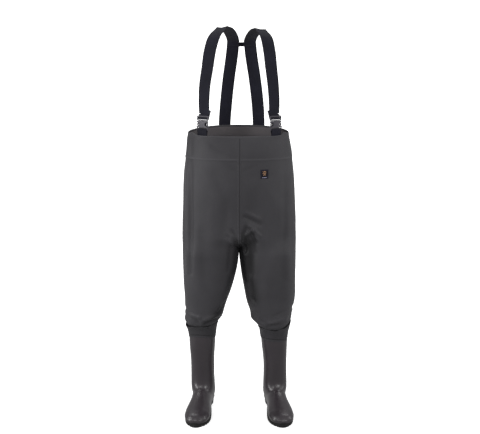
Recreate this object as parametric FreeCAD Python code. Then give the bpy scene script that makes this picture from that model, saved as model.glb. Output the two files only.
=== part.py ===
import FreeCAD, Part
import math
import os

# Chest waders: PVC-coated fabric body with a bib, moulded boots, elastic braces and side-release buckles.
# Millimetres. +Z up, the front faces -Y, +X is the wearer's left.
# Heights are written from the ground under the soles. Each piece is lowered by shoulder_height when it is
# stored, so the stored origin is the middle point between the shoulders, level with the top of the braces.

Vec = FreeCAD.Vector

# heights above the ground
shoulder_height = 1665.0
rim_front = 1232.0
rim_side = 1233.0
rim_back = 1251.0
band_seam = 1128.0
crotch_height = 722.0
boot_top = 372.0
hip_length = 92.0
thigh_length = 90.0
hem_above_boot = 20.0
cuff_overlap = 34.0
thigh_top = crotch_height - hip_length
thigh_bottom = thigh_top - thigh_length
leg_hem = boot_top + hem_above_boot
cuff_bottom = boot_top - cuff_overlap

# coated fabric and clearances
wall = 1.6
gap = 0.5
facing_depth = 38.0
facing_thick = 1.0
tape_thick = 0.8
tape_width = 22.0

# room round the model for cutting tools, and how far the rim is built above its highest point
reach = 600.0
rim_spare = 12.0
ring_points = 32
slice_points = 28


def between(low, high, share):
    """The value at a share of the way from low to high."""
    return low + (high - low) * share


# trunk: height, half width, front depth, back depth
trunk_stations = [
    (crotch_height, 238.0, 132.0, 146.0),
    (between(crotch_height, band_seam, 0.142857), 239.0, 135.0, 150.0),
    (between(crotch_height, band_seam, 0.435961), 236.0, 140.0, 150.0),
    (between(crotch_height, band_seam, 0.699507), 231.0, 143.0, 147.0),
    (band_seam, 221.5, 141.0, 142.0),
    (rim_front, 208.5, 138.0, 138.0),
    (rim_back + rim_spare, 205.0, 137.0, 137.0),
]
trunk_power = 2.3

# leg: height, centre, half width, front depth, back depth, corner power
leg_stations = [
    (crotch_height - gap, 120.5, 117.0, 120.0, 134.0, 2.8),
    (between(leg_hem, crotch_height, 0.751515), 126.0, 112.0, 115.0, 128.0, 2.5),
    (between(leg_hem, crotch_height, 0.548485), 133.0, 105.5, 109.0, 119.0, 2.3),
    (between(leg_hem, crotch_height, 0.278788), 143.0, 93.0, 96.0, 102.0, 2.2),
    (between(leg_hem, crotch_height, 0.130303), 150.0, 84.0, 88.0, 92.0, 2.1),
    (leg_hem, 155.0, 74.0, 80.0, 83.0, 2.1),
]

# boot, in its own frame: origin on the ground under the ankle, toe towards -Y
# each station is a slice that fans round the instep:
# instep point (y, z), heel or sole point (y, z), half width
boot_stations = [
    (-57.0, boot_top + 10.0, 59.0, boot_top + 10.0, 55.0),
    (-56.5, 300.0, 58.5, 300.0, 55.0),
    (-52.0, 210.0, 55.0, 210.0, 51.0),
    (-50.0, 150.0, 53.0, 145.0, 51.0),
    (-54.0, 118.0, 56.0, 92.0, 51.0),
    (-62.0, 103.0, 62.0, 40.0, 47.0),
    (-71.0, 96.0, 50.0, 2.0, 42.5),
    (-84.0, 90.0, -20.0, 2.0, 41.0),
    (-102.0, 82.0, -80.0, 2.0, 43.5),
    (-130.0, 73.0, -125.0, 2.0, 50.0),
    (-165.0, 64.0, -165.0, 2.0, 53.5),
    (-203.0, 55.0, -206.0, 3.0, 49.0),
    (-229.0, 45.0, -233.0, 7.0, 35.0),
    (-240.0, 35.0, -243.0, 14.0, 19.0),
]
boot_power = 2.3
boot_slice_gap = 42.0
# cuff: height, how far it stands out from the top of the boot
cuff_stations = [
    (leg_hem - gap, 12.0),
    (boot_top - 6.0, 6.5),
    (cuff_bottom, 3.4),
]
boot_centre = 160.5
toe_out = 6.5
boot_wall = 3.0
lining_thick = 1.2
insole_thick = 4.0

# sole
sole_thick = 20.0
lug_depth = 6.0
lug_pitch = 15.0
lug_groove = 5.5
arch_front = -45.0
arch_back = 0.0
arch_height = 11.0
sole_lip = 3.0

# webbing and braces
web_width = 50.0
web_thick = 1.8
brace_front_x = 158.0
brace_back_x = 75.0
brace_tail = 66.0
brace_tail_drift = 3.0
anchor_lift = 6.0
anchor_thick = 1.2
anchor_margin = 9.0
anchor_height = 44.0
yoke_y = 152.0
link_half_width = 52.0
yoke_drop = 77.0
link_low = shoulder_height - yoke_drop
link_height = 18.0

# side-release buckle, in its own frame: origin in the socket's mouth, X across, Z up the brace, front is -Y
buckle_sides = 3.5
buckle_width = web_width + 2 * buckle_sides
buckle_thick = 13.0
socket_length = 38.0
socket_pocket = 25.0
bar_height = 5.0
bar_half_thick = 2.5
web_slot = 6.0
web_gap = 0.4
loop_tail = 58.0
tongue_thick = 7.0
frame_length = 21.0
ladder_slot = 4.2
ladder_bar = 3.4
ladder_low = 4.0
frame_low = 0.6
fold_tail = 52.0
buckle_above_rim = 57.0
buckle_inset = 14.0
buckle_lean = 4.5
arm_reach = 20.0

# label on the wearer's left chest
label_x = 104.0
label_z = 1074.0
label_width = 33.0
label_height = 38.0
label_thick = 1.2


def signed_power(value, power):
    return math.copysign(abs(value) ** power, value)


def ring(height, centre, half_width, front, back, power, inset):
    points = []
    for i in range(ring_points):
        angle = 2 * math.pi * i / ring_points
        depth = back if math.sin(angle) > 0 else front
        x = centre + (half_width - inset) * signed_power(math.cos(angle), 2 / power)
        y = (depth - inset) * signed_power(math.sin(angle), 2 / power)
        points.append(Vec(x, y, height))
    curve = Part.BSplineCurve()
    curve.interpolate(points, PeriodicFlag=True)
    return Part.Wire(curve.toShape())


def stack(rings):
    return Part.makeLoft(rings, True, False)


def block(x0, x1, y0, y1, z0, z1):
    return Part.makeBox(x1 - x0, y1 - y0, z1 - z0, Vec(x0, y0, z0))


def slab(z0, z1):
    return block(-reach, reach, -reach, reach, z0, z1)


def single(shape):
    solids = shape.Solids
    if not solids:
        raise ValueError("a piece came out empty")
    return solids[0] if len(solids) == 1 else Part.makeCompound(solids)


# ---- trunk ----

def trunk_form(inset):
    rings = []
    for height, half_width, front, back in trunk_stations:
        rings.append(ring(height, 0.0, half_width, front, back, trunk_power, inset))
    return stack(rings)


def trunk_skin(inset, thick):
    return trunk_form(inset).cut(trunk_form(inset + thick))


def under_rim(lift):
    """Everything below the rim, which sweeps up towards the back."""
    back = trunk_size(rim_back)[2]
    past = 200.0
    low = Vec(0, -past, rim_front + lift)
    mid = Vec(0, 0, rim_side + lift)
    high = Vec(0, past, rim_side + (rim_back - rim_side) * past / back + lift)
    edges = [
        Part.Arc(low, mid, high).toShape(),
        Part.LineSegment(high, Vec(0, past, 0)).toShape(),
        Part.LineSegment(Vec(0, past, 0), Vec(0, -past, 0)).toShape(),
        Part.LineSegment(Vec(0, -past, 0), low).toShape(),
    ]
    solid = Part.Face(Part.Wire(edges)).extrude(Vec(2 * reach, 0, 0))
    solid.translate(Vec(-reach, 0, 0))
    return solid


def trunk_size(height):
    """Half width, front and back depth of the trunk at a height."""
    for low, high in zip(trunk_stations, trunk_stations[1:]):
        if low[0] <= height <= high[0]:
            share = (height - low[0]) / (high[0] - low[0])
            return [a + (b - a) * share for a, b in zip(low[1:], high[1:])]
    return trunk_stations[-1][1:]


def trunk_point(x, height, side):
    """Outer surface point at x, on the front (side -1) or the back (side 1).

    The second value is the surface's outward turn about Z."""
    half_width, front, back = trunk_size(height)
    depth = front if side < 0 else back
    y = depth * (1 - (x / half_width) ** trunk_power) ** (1 / trunk_power)
    slope_x = (x / half_width) ** (trunk_power - 1) / half_width
    slope_y = (y / depth) ** (trunk_power - 1) / depth
    return y * side, math.degrees(math.atan2(slope_x, slope_y))


def chest_band():
    skin = trunk_skin(0.0, wall).common(under_rim(0.0))
    return single(skin.common(slab(band_seam + gap, rim_back + reach)))


def chest_band_facing():
    skin = trunk_skin(wall + gap, facing_thick).common(under_rim(-1.0))
    return single(skin.cut(under_rim(-facing_depth)))


def trunk_panel(side):
    skin = trunk_skin(0.0, wall).common(slab(crotch_height, band_seam))
    edges = sorted([side * gap / 2, side * reach])
    half = block(edges[0], edges[1], -reach, reach, 0.0, shoulder_height)
    return single(skin.common(half))


def centre_tape(side):
    """Welded tape inside the centre seam, front (side -1) or back (side 1)."""
    skin = trunk_skin(wall + gap, tape_thick).common(slab(crotch_height + 4.0, band_seam - 2.0))
    face = sorted([0.0, side * reach])
    half = tape_width / 2
    return single(skin.common(block(-half, half, face[0], face[1], 0.0, shoulder_height)))


def label_patch():
    skin = trunk_skin(-gap - label_thick, label_thick)
    x0 = label_x - label_width / 2
    z0 = label_z - label_height / 2
    return single(skin.common(block(x0, x0 + label_width, -reach, 0.0, z0, z0 + label_height)))


# ---- legs and boots, wearer's left ----

def leg_form(inset):
    rings = []
    for height, centre, half_width, front, back, power in leg_stations:
        rings.append(ring(height, centre, half_width, front, back, power, inset))
    return stack(rings)


def leg_skin(z0, z1):
    return single(leg_form(0.0).cut(leg_form(wall)).common(slab(z0, z1)))


def inseam_tape():
    skin = leg_form(wall + gap).cut(leg_form(wall + gap + tape_thick))
    half = tape_width / 2
    inner = block(-10.0, boot_centre - 40.0, -half, half, thigh_bottom + 3.0, thigh_top - 3.0)
    return single(skin.common(inner))


def cuff():
    """Fabric band over the top of the boot, sized from the boot's own top slice."""
    front, top, back, top, half_width = boot_stations[0]
    outer = []
    inner = []
    for height, ease in cuff_stations:
        size = (half_width + ease, ease - front, back + ease, boot_power)
        outer.append(ring(height, 0.0, *size, 0.0))
        inner.append(ring(height, 0.0, *size, wall))
    return single(stack(outer).cut(stack(inner)))


def boot_slice(station, inset, advance):
    y0, z0, y1, z1, half_width = station
    centre = Vec(0, (y0 + y1) / 2 + advance, (z0 + z1) / 2)
    spoke = Vec(0, (y1 - y0) / 2, (z1 - z0) / 2)
    spoke = spoke * ((spoke.Length - inset) / spoke.Length)
    points = []
    for i in range(slice_points + 1):
        angle = 2 * math.pi * (i % slice_points) / slice_points
        along = spoke * signed_power(math.cos(angle), 2 / boot_power)
        across = Vec((half_width - inset) * signed_power(math.sin(angle), 2 / boot_power), 0, 0)
        points.append(centre + along + across)
    return points


def even_stations():
    """The boot's stations, with rows added between the ones that lie far apart."""
    rows = []
    for near, far in zip(boot_stations, boot_stations[1:]):
        travel = math.hypot(far[0] + far[2] - near[0] - near[2], far[1] + far[3] - near[1] - near[3]) / 2
        parts = math.ceil(travel / boot_slice_gap)
        for i in range(parts):
            rows.append([a + (b - a) * i / parts for a, b in zip(near, far)])
    rows.append(boot_stations[-1])
    return rows


def boot_form(inset):
    """One smooth surface through all the slices, closed with a flat cap above the top and one at the toe."""
    rows = even_stations()
    slices = [boot_slice(row, inset, 0.0) for row in rows[:-1]]
    slices.append(boot_slice(rows[-1], inset, inset))
    surface = Part.BSplineSurface()
    surface.interpolate(slices)
    first, last = surface.bounds()[:2]
    faces = [surface.toShape()]
    for end in (first, last):
        faces.append(Part.Face(Part.Wire(surface.uIso(end).toShape())))
    shell = Part.makeShell(faces)
    shell.sewShape()
    solid = Part.makeSolid(Part.Shell(shell.Faces))
    if solid.Volume < 0:
        solid.reverse()
    return solid


def boot_shell(inset, thick, floor):
    """A wall of the boot from inset inwards, with a floor of the same thickness at the given height."""
    outer = boot_form(inset).common(slab(floor, boot_top))
    hollow = boot_form(inset + thick).common(slab(floor + thick, boot_top + 5.0))
    return single(outer.cut(hollow))


def boot_upper():
    return boot_shell(0.0, boot_wall, sole_thick + 0.3)


def boot_lining():
    inset = boot_wall + gap
    skin = boot_shell(inset, lining_thick, sole_thick + 0.3 + boot_wall + gap)
    return single(skin.common(slab(0.0, boot_top - 8.0)))


def boot_insole():
    inset = boot_wall + gap + lining_thick + gap
    floor = sole_thick + 0.3 + inset
    return single(boot_form(inset).common(slab(floor, floor + insole_thick)))


def sole_outline(lip):
    """The boot's own outline just above the sole, grown by a lip, as a closed curve."""
    heel_y = 57.0 + lip
    toe_y = -243.0 - lip
    edges = [
        (heel_y, 0.0),
        (46.0, 31.0 + lip),
        (5.0, 37.0 + lip),
        (-50.0, 37.0 + lip),
        (-105.0, 46.0 + lip),
        (-160.0, 52.0 + lip),
        (-205.0, 43.0 + lip),
        (-234.0, 22.0 + lip),
        (toe_y, 0.0),
    ]
    points = [Vec(x, y, 0) for y, x in edges]
    points += [Vec(-x, y, 0) for y, x in edges[-2:0:-1]]
    curve = Part.BSplineCurve()
    curve.interpolate(points, PeriodicFlag=True)
    return Part.Face(Part.Wire(curve.toShape()))


def boot_outsole():
    sole = sole_outline(sole_lip).extrude(Vec(0, 0, sole_thick))
    sole = sole.cut(block(-100.0, 100.0, arch_front, arch_back, -1.0, arch_height))
    y = -232.0
    while y < 50.0:
        clear_of_arch = y + lug_groove < arch_front - 6.0 or y > arch_back + 6.0
        if clear_of_arch:
            sole = sole.cut(block(-100.0, 100.0, y, y + lug_groove, -1.0, lug_depth))
        y += lug_pitch
    return single(sole)


def place_boot(shape):
    placed = shape.copy()
    placed.rotate(Vec(0, 0, 0), Vec(0, 0, 1), toe_out)
    placed.translate(Vec(boot_centre, 0, 0))
    return placed


# ---- braces, wearer's left ----

def ribbon(stations, width, thick):
    """A flat band through (point, width direction) stations."""
    rings = []
    last = len(stations) - 1
    for i, (point, across) in enumerate(stations):
        ahead = stations[min(i + 1, last)][0]
        behind = stations[max(i - 1, 0)][0]
        tangent = (ahead - behind).normalize()
        across = (across - tangent * across.dot(tangent)).normalize()
        face = across.cross(tangent).normalize()
        a = across * (width / 2)
        b = face * (thick / 2)
        corners = [point - a - b, point + a - b, point + a + b, point - a + b]
        rings.append(Part.makePolygon(corners + corners[:1]))
    return stack(rings)


def turned(degrees, drop=0.0):
    """Width direction of a band whose face is turned outwards about Z."""
    angle = math.radians(degrees)
    return Vec(math.cos(angle), math.sin(angle), drop)


def buckle_placement():
    y, turn = trunk_point(brace_front_x, rim_front, -1)
    outward = Vec(math.sin(math.radians(turn)), -math.cos(math.radians(turn)), 0)
    base = Vec(brace_front_x, y, rim_front + buckle_above_rim) - outward * buckle_inset
    spin = FreeCAD.Rotation(Vec(0, 0, 1), turn).multiply(FreeCAD.Rotation(Vec(1, 0, 0), -buckle_lean))
    return FreeCAD.Placement(base, spin)


def at_buckle(shape):
    placed = shape.copy()
    placed.Placement = buckle_placement().multiply(placed.Placement)
    return placed


def front_brace():
    """Elastic webbing from the top of the buckle over the shoulder to the yoke."""
    place = buckle_placement()
    back_of_frame = tongue_thick / 2 + web_gap + web_thick / 2
    turn = trunk_point(brace_front_x, rim_front, -1)[1]
    low = rim_front + buckle_above_rim + frame_length + 9.0
    high = shoulder_height
    stations = [
        (place.multVec(Vec(0, back_of_frame, frame_length + 7.0)), turned(turn)),
        (Vec(145.5, -84.0, between(low, high, 0.153179)), turned(36)),
        (Vec(138.0, -80.0, between(low, high, 0.349711)), turned(33)),
        (Vec(129.5, -69.0, between(low, high, 0.523121)), turned(28)),
        (Vec(119.5, -46.0, between(low, high, 0.748555)), turned(22)),
        (Vec(104.0, -22.0, between(low, high, 0.893064)), turned(18, -0.15)),
        (Vec(77.0, 12.0, high - 1.5), turned(17, -0.2)),
        (Vec(60.0, 52.0, high - 8.0), turned(13, -0.15)),
        (Vec(44.0, 105.0, high - 29.0), turned(6, -0.08)),
        (Vec(35.0, 147.5, high - 57.0), turned(0)),
        (Vec(36.0, 151.0, high - 75.0), turned(0)),
    ]
    return ribbon(stations, web_width, web_thick)


def back_brace():
    """Webbing from the yoke down to the back of the bib, lying on its outside."""
    off = 1.6 + web_thick / 2
    rim_y, rim_turn = trunk_point(brace_back_x, rim_back, 1)
    end_x = brace_back_x + brace_tail_drift
    mid_x = brace_back_x + brace_tail_drift / 2
    end_y = trunk_point(end_x, rim_back - brace_tail, 1)[0]
    mid_y = trunk_point(mid_x, rim_back - brace_tail / 2, 1)[0]
    stations = [
        (Vec(35.5, yoke_y + web_thick, shoulder_height - 61.0), turned(0)),
        (Vec(40.0, 154.0, between(rim_back, shoulder_height, 0.746377)), turned(0)),
        (Vec(56.0, 152.5, between(rim_back, shoulder_height, 0.480676)), turned(-3)),
        (Vec(69.0, 148.0, between(rim_back, shoulder_height, 0.214976)), turned(-6)),
        (Vec(brace_back_x, rim_y + off + 1.5, rim_back + 16.0), turned(-rim_turn)),
        (Vec(mid_x, mid_y + off, rim_back - brace_tail / 2), turned(-rim_turn)),
        (Vec(end_x, end_y + off, rim_back - brace_tail), turned(-rim_turn)),
    ]
    return ribbon(stations, web_width, web_thick)


def back_anchor():
    """Patch welded over the end of the back webbing."""
    skin = trunk_skin(-anchor_lift, anchor_thick)
    middle = brace_back_x + brace_tail_drift - gap
    half = web_width / 2 + anchor_margin
    low = rim_back - brace_tail - anchor_margin + 1.0
    return single(skin.common(block(middle - half, middle + half, 0.0, reach, low, low + anchor_height)))


def yoke_link():
    """Cross strap that holds the two back bands together behind the neck."""
    y = yoke_y + web_thick * 1.5 + gap + 0.1
    half = link_half_width
    return block(-half, half, y, y + web_thick, link_low, link_low + link_height)


# ---- side-release buckle ----

def rounded(shape, radius):
    upright = [edge for edge in shape.Edges if abs(edge.tangentAt(edge.FirstParameter).y) > 0.9]
    return shape.makeFillet(radius, upright)


def buckle_socket():
    half = buckle_width / 2
    deep = buckle_thick / 2
    body = rounded(block(-half, half, -deep, deep, -socket_length, 0.0), 4.0)
    pocket_half = tongue_thick / 2 + web_gap
    body = body.cut(block(-half + 4.0, half - 4.0, -pocket_half, pocket_half, -socket_pocket, 1.0))
    for side in (-1, 1):
        window = sorted([side * (half - 9.0), side * (half + 1.0)])
        body = body.cut(block(window[0], window[1], -deep - 1, deep + 1, -socket_pocket + 3.0, -5.0))
    slot_top = -socket_length + bar_height + web_slot
    slot_half = web_width / 2 + 0.8
    slot = block(-slot_half, slot_half, -deep - 1, deep + 1, slot_top - web_slot, slot_top)
    body = body.cut(slot)
    for side in (-1, 1):
        y = sorted([side * bar_half_thick, side * (deep + 1.0)])
        body = body.cut(block(-half - 1, half + 1, y[0], y[1], -socket_length - 1, slot_top - web_slot))
    return single(body)


def webbing_loop():
    """Short webbing folded round the socket's bar, its two plies sewn together inside the bib."""
    inside = bar_half_thick + web_gap
    outside = inside + web_thick
    ply = web_thick + 0.1
    top = -socket_length + bar_height + web_gap
    low = -socket_length - web_gap
    tail = -socket_length - loop_tail
    outer = [
        (-outside, top + web_thick), (outside, top + web_thick), (outside, low),
        (ply, low - 9.0), (ply, tail), (-ply, tail), (-ply, low - 9.0), (-outside, low),
    ]
    hole = [(-inside, top), (inside, top), (inside, low), (0.0, low - 7.0), (-inside, low)]
    faces = []
    for outline in (outer, hole):
        points = [Vec(-web_width / 2, y, z) for y, z in outline]
        faces.append(Part.Face(Part.makePolygon(points + points[:1])))
    return single(faces[0].cut(faces[1]).extrude(Vec(web_width, 0, 0)))


def buckle_tongue():
    half = buckle_width / 2
    deep = tongue_thick / 2
    low = frame_low
    frame = rounded(block(-half, half, -deep, deep, low, low + frame_length), 3.0)
    slot_half = web_width / 2 + 0.6
    for start in (ladder_low, ladder_low + ladder_slot + ladder_bar):
        z = low + start
        frame = frame.cut(block(-slot_half, slot_half, -deep - 1, deep + 1, z, z + ladder_slot))
    guide = block(-6.0, 6.0, -2.2, 2.2, -socket_pocket + 2.0, low + 1.0)
    return single(frame.fuse(guide))


def buckle_arm(side):
    """One springy side arm, hinged at its root under the tongue's frame, with a finger pad and a hook."""
    deep = tongue_thick / 2 - web_gap
    half = buckle_width / 2
    outline = [
        (13.5, -0.6), (8.5, -0.6), (4.5, -6.0), (1.5, -12.0), (1.1, -17.0),
        (3.5, -arm_reach), (8.5, -arm_reach), (5.9, -14.5), (8.5, -8.0), (13.5, -4.3),
    ]
    points = [Vec(side * (half - x), -deep, z) for x, z in outline]
    return Part.Face(Part.makePolygon(points + points[:1])).extrude(Vec(0, 2 * deep, 0))


def brace_fold():
    """The brace's end, threaded round the tongue's middle bar, with its free tail hanging behind."""
    half = web_width / 2
    face = tongue_thick / 2 + web_gap
    spare = (ladder_slot - web_thick) / 2
    low = frame_low + ladder_low + spare
    high = low + ladder_slot + ladder_bar
    back = face + web_thick
    tail = back + web_thick + 2.2
    runs = [
        block(-half, half, face, back, high, frame_length + 6.0),
        block(-half, half, -back, back, high, high + web_thick),
        block(-half, half, -back, -face, low, high + web_thick),
        block(-half, half, -back, tail, low, low + web_thick),
        block(-half, half, tail - web_thick, tail, low, fold_tail),
    ]
    fold = runs[0]
    for run in runs[1:]:
        fold = fold.fuse(run)
    return single(fold.removeSplitter())


# ---- storing ----

def store(shape, name):
    low = shape.copy()
    low.translate(Vec(0, 0, -shoulder_height))
    low.exportStep("parts/" + name + ".step")


def store_pair(shape, name):
    """The wearer's left piece as made, and its mirror image for the right."""
    store(shape, "left_" + name)
    store(shape.mirror(Vec(0, 0, 0), Vec(1, 0, 0)), "right_" + name)


os.makedirs("parts", exist_ok=True)

store(chest_band(), "chest_band")
store(chest_band_facing(), "chest_band_facing")
store(trunk_panel(1), "left_trunk_panel")
store(trunk_panel(-1), "right_trunk_panel")
store(centre_tape(-1), "front_seam_tape")
store(centre_tape(1), "back_seam_tape")
store(label_patch(), "label_patch")
store(yoke_link(), "yoke_link")

store_pair(leg_skin(thigh_top, crotch_height - gap), "hip_fabric")
store_pair(leg_skin(thigh_bottom, thigh_top - gap), "leg_fabric")
store_pair(leg_skin(leg_hem, thigh_bottom - gap), "knee_fabric")
store_pair(inseam_tape(), "inseam_tape")
store_pair(place_boot(cuff()), "boot_cuff")
store_pair(place_boot(boot_upper()), "boot_upper")
store_pair(place_boot(boot_lining()), "boot_lining")
store_pair(place_boot(boot_insole()), "boot_insole")
store_pair(place_boot(boot_outsole()), "boot_outsole")

store_pair(front_brace(), "front_brace")
store_pair(back_brace(), "back_brace")
store_pair(back_anchor(), "back_anchor")
store_pair(at_buckle(buckle_socket()), "buckle_socket")
store_pair(at_buckle(webbing_loop()), "webbing_loop")
store_pair(at_buckle(buckle_tongue()), "buckle_tongue")
store_pair(at_buckle(brace_fold()), "brace_fold")
store_pair(at_buckle(buckle_arm(1)), "buckle_outer_arm")
store_pair(at_buckle(buckle_arm(-1)), "buckle_inner_arm")
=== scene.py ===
import math
import bmesh
import bpy
import numpy as np
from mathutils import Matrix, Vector, noise


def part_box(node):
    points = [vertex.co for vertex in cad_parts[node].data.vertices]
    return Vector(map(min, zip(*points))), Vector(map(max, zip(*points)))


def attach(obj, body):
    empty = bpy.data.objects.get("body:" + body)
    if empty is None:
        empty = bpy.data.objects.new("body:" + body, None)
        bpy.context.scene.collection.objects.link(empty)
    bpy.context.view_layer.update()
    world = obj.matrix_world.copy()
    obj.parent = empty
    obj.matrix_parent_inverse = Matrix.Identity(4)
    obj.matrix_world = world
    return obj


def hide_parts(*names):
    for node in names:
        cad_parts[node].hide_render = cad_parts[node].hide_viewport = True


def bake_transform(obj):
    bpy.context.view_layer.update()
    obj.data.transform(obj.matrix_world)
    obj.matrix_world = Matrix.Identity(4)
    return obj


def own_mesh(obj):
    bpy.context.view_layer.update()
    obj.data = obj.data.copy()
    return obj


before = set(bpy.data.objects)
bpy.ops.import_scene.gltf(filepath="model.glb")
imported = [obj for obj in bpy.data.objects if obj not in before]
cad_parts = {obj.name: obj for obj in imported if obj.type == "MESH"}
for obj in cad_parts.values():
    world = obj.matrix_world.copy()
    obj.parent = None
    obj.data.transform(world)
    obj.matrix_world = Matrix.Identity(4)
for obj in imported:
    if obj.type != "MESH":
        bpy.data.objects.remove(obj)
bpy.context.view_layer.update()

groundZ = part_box("left_boot_outsole")[0].z
mm = 0.001
sides = {"left": 1, "right": -1}  # the wearer's left is +X


# shapes are worked out in millimetres above the ground and placed in the frame at the end
def placed(points):
    points = np.array(points, float) * mm
    points[..., 2] += groundZ
    return points


def easeStep(value, low, high):
    t = np.clip((np.asarray(value, float) - low) / (high - low), 0, 1)
    return t * t * (3 - 2 * t)


def curveThrough(keys, values, at):
    # smooth curve through the rows of a size table
    keys = np.asarray(keys, float)
    values = np.asarray(values, float).reshape(len(keys), -1)
    step = np.diff(keys)
    slope = np.diff(values, axis=0) / step[:, None]
    tangent = np.vstack([slope[:1], (slope[1:] + slope[:-1]) / 2, slope[-1:]])
    at = np.clip(np.asarray(at, float), keys[0], keys[-1])
    i = np.clip(np.searchsorted(keys, at, side="right") - 1, 0, len(keys) - 2)
    t = ((at - keys[i]) / step[i])[:, None]
    run = step[i][:, None]
    return ((2 * t**3 - 3 * t**2 + 1) * values[i] + (t**3 - 2 * t**2 + t) * run * tangent[i]
            + (3 * t**2 - 2 * t**3) * values[i + 1] + (t**3 - t**2) * run * tangent[i + 1])


def roundAbout(quarters, share):
    # a value round a leg, from inner seam to front, outer side, back and inner seam again
    q = list(quarters)
    keys = [-0.25, 0.0, 0.25, 0.5, 0.75, 1.0, 1.25]
    return curveThrough(keys, [q[3], q[0], q[1], q[2], q[3], q[0], q[1]], share)[:, 0]


def ringPoints(centre, halfWidth, front, back, power, startTurn, endTurn, count):
    # evenly spaced points on a soft-cornered ring, seen from above
    turn = np.radians(np.linspace(startTurn, endTurn, 721))
    c, s = np.cos(turn), np.sin(turn)
    x = centre + halfWidth * np.sign(c) * np.abs(c) ** (2 / power)
    y = np.where(s > 0, back, front) * np.sign(s) * np.abs(s) ** (2 / power)
    run = np.concatenate([[0], np.cumsum(np.hypot(np.diff(x), np.diff(y)))])
    want = np.linspace(0, run[-1], count)
    return np.stack([np.interp(want, run, x), np.interp(want, run, y)], 1)


def gridNormals(points):
    across = np.gradient(points, axis=1)
    up = np.gradient(points, axis=0)
    normal = np.cross(across, up)
    return normal / np.maximum(np.linalg.norm(normal, axis=2, keepdims=True), 1e-9)


def softNoise(points, scale, seed):
    flat = points.reshape(-1, 3)
    out = [noise.noise(Vector((p[0] / scale[0] + seed, p[1] / scale[1], p[2] / scale[2]))) for p in flat]
    return np.array(out).reshape(points.shape[:2])


def addObject(name, mesh):
    made = bpy.data.objects.new(name, mesh)
    bpy.context.scene.collection.objects.link(made)
    return made


def gridPiece(name, points, closed=False, flip=False, thick=0.0, marks=None, caps=False):
    # points is rows x columns x 3; rows run up, columns run round the wearer from front to back
    rows, columns = points.shape[:2]
    spots = placed(points)
    span = columns if closed else columns - 1
    ringed = np.concatenate([spots, spots[:, :1]], 1) if closed else spots
    across = np.concatenate([np.zeros((rows, 1)),
                             np.cumsum(np.linalg.norm(np.diff(ringed, axis=1), axis=2), 1)], 1)
    upward = np.concatenate([np.zeros((1, columns)),
                             np.cumsum(np.linalg.norm(np.diff(spots, axis=0), axis=2), 0)], 0)
    across = across.mean(0)
    upward = upward.mean(1)
    faces, cuts = [], []
    for r in range(rows - 1):
        for c in range(span):
            d = (c + 1) % columns
            corners = [(r, c, c), (r, d, c + 1), (r + 1, d, c + 1), (r + 1, c, c)]
            if flip:
                corners.reverse()
            faces.append([i * columns + j for i, j, k in corners])
            cuts += [(across[k], upward[i]) for i, j, k in corners]
    if caps:
        for r, turned in ((0, not flip), (rows - 1, flip)):
            rim = [r * columns + c for c in range(columns)]
            faces.append(rim[::-1] if turned else rim)
            cuts += [(0.0, upward[r])] * columns
    mesh = bpy.data.meshes.new(name)
    mesh.from_pydata(spots.reshape(-1, 3).tolist(), [], faces)
    layer = mesh.uv_layers.new(name="cut")
    layer.data.foreach_set("uv", np.array(cuts, np.float32).ravel())
    for mark, values in (marks or {}).items():
        attribute = mesh.attributes.new(mark, "FLOAT", "POINT")
        attribute.data.foreach_set("value", np.asarray(values, np.float32).ravel())
    work = bmesh.new()
    work.from_mesh(mesh)
    bmesh.ops.remove_doubles(work, verts=work.verts, dist=1e-5)
    for edge in work.edges:
        edge.smooth = not (edge.is_boundary or (caps and edge.calc_face_angle(0) > 1.0))
    for face in work.faces:
        face.smooth = True
    work.to_mesh(mesh)
    work.free()
    piece = addObject(name, mesh)
    if thick:
        shell = piece.modifiers.new("thickness", "SOLIDIFY")
        shell.thickness = thick * mm
        shell.offset = -1
        shell.use_even_offset = False
    return piece


# finishes

def hexColour(code, strength=1.0):
    values = [int(code[i:i + 2], 16) / 255 for i in (0, 2, 4)]
    return tuple((v / 12.92 if v <= 0.04045 else ((v + 0.055) / 1.055) ** 2.4) * strength
                 for v in values) + (1.0,)


def newGroup(name, inputs, outputs):
    group = bpy.data.node_groups.new(name, "ShaderNodeTree")
    for label, kind, value in inputs:
        socket = group.interface.new_socket(name=label, in_out="INPUT", socket_type="NodeSocket" + kind)
        socket.default_value = value
    for label, kind in outputs:
        group.interface.new_socket(name=label, in_out="OUTPUT", socket_type="NodeSocket" + kind)
    return group, group.nodes.new("NodeGroupInput"), group.nodes.new("NodeGroupOutput")


def addNode(tree, kind, links=None, **settings):
    node = tree.nodes.new("ShaderNode" + kind)
    for key, value in settings.items():
        setattr(node, key, value)
    for socket, source in (links or {}).items():
        target = node.inputs[socket]
        if isinstance(source, bpy.types.NodeSocket):
            tree.links.new(source, target)
        else:
            target.default_value = source
    return node


def math2(tree, operation, a, b=0.0, c=0.0):
    return addNode(tree, "Math", {0: a, 1: b, 2: c}, operation=operation).outputs[0]


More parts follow.
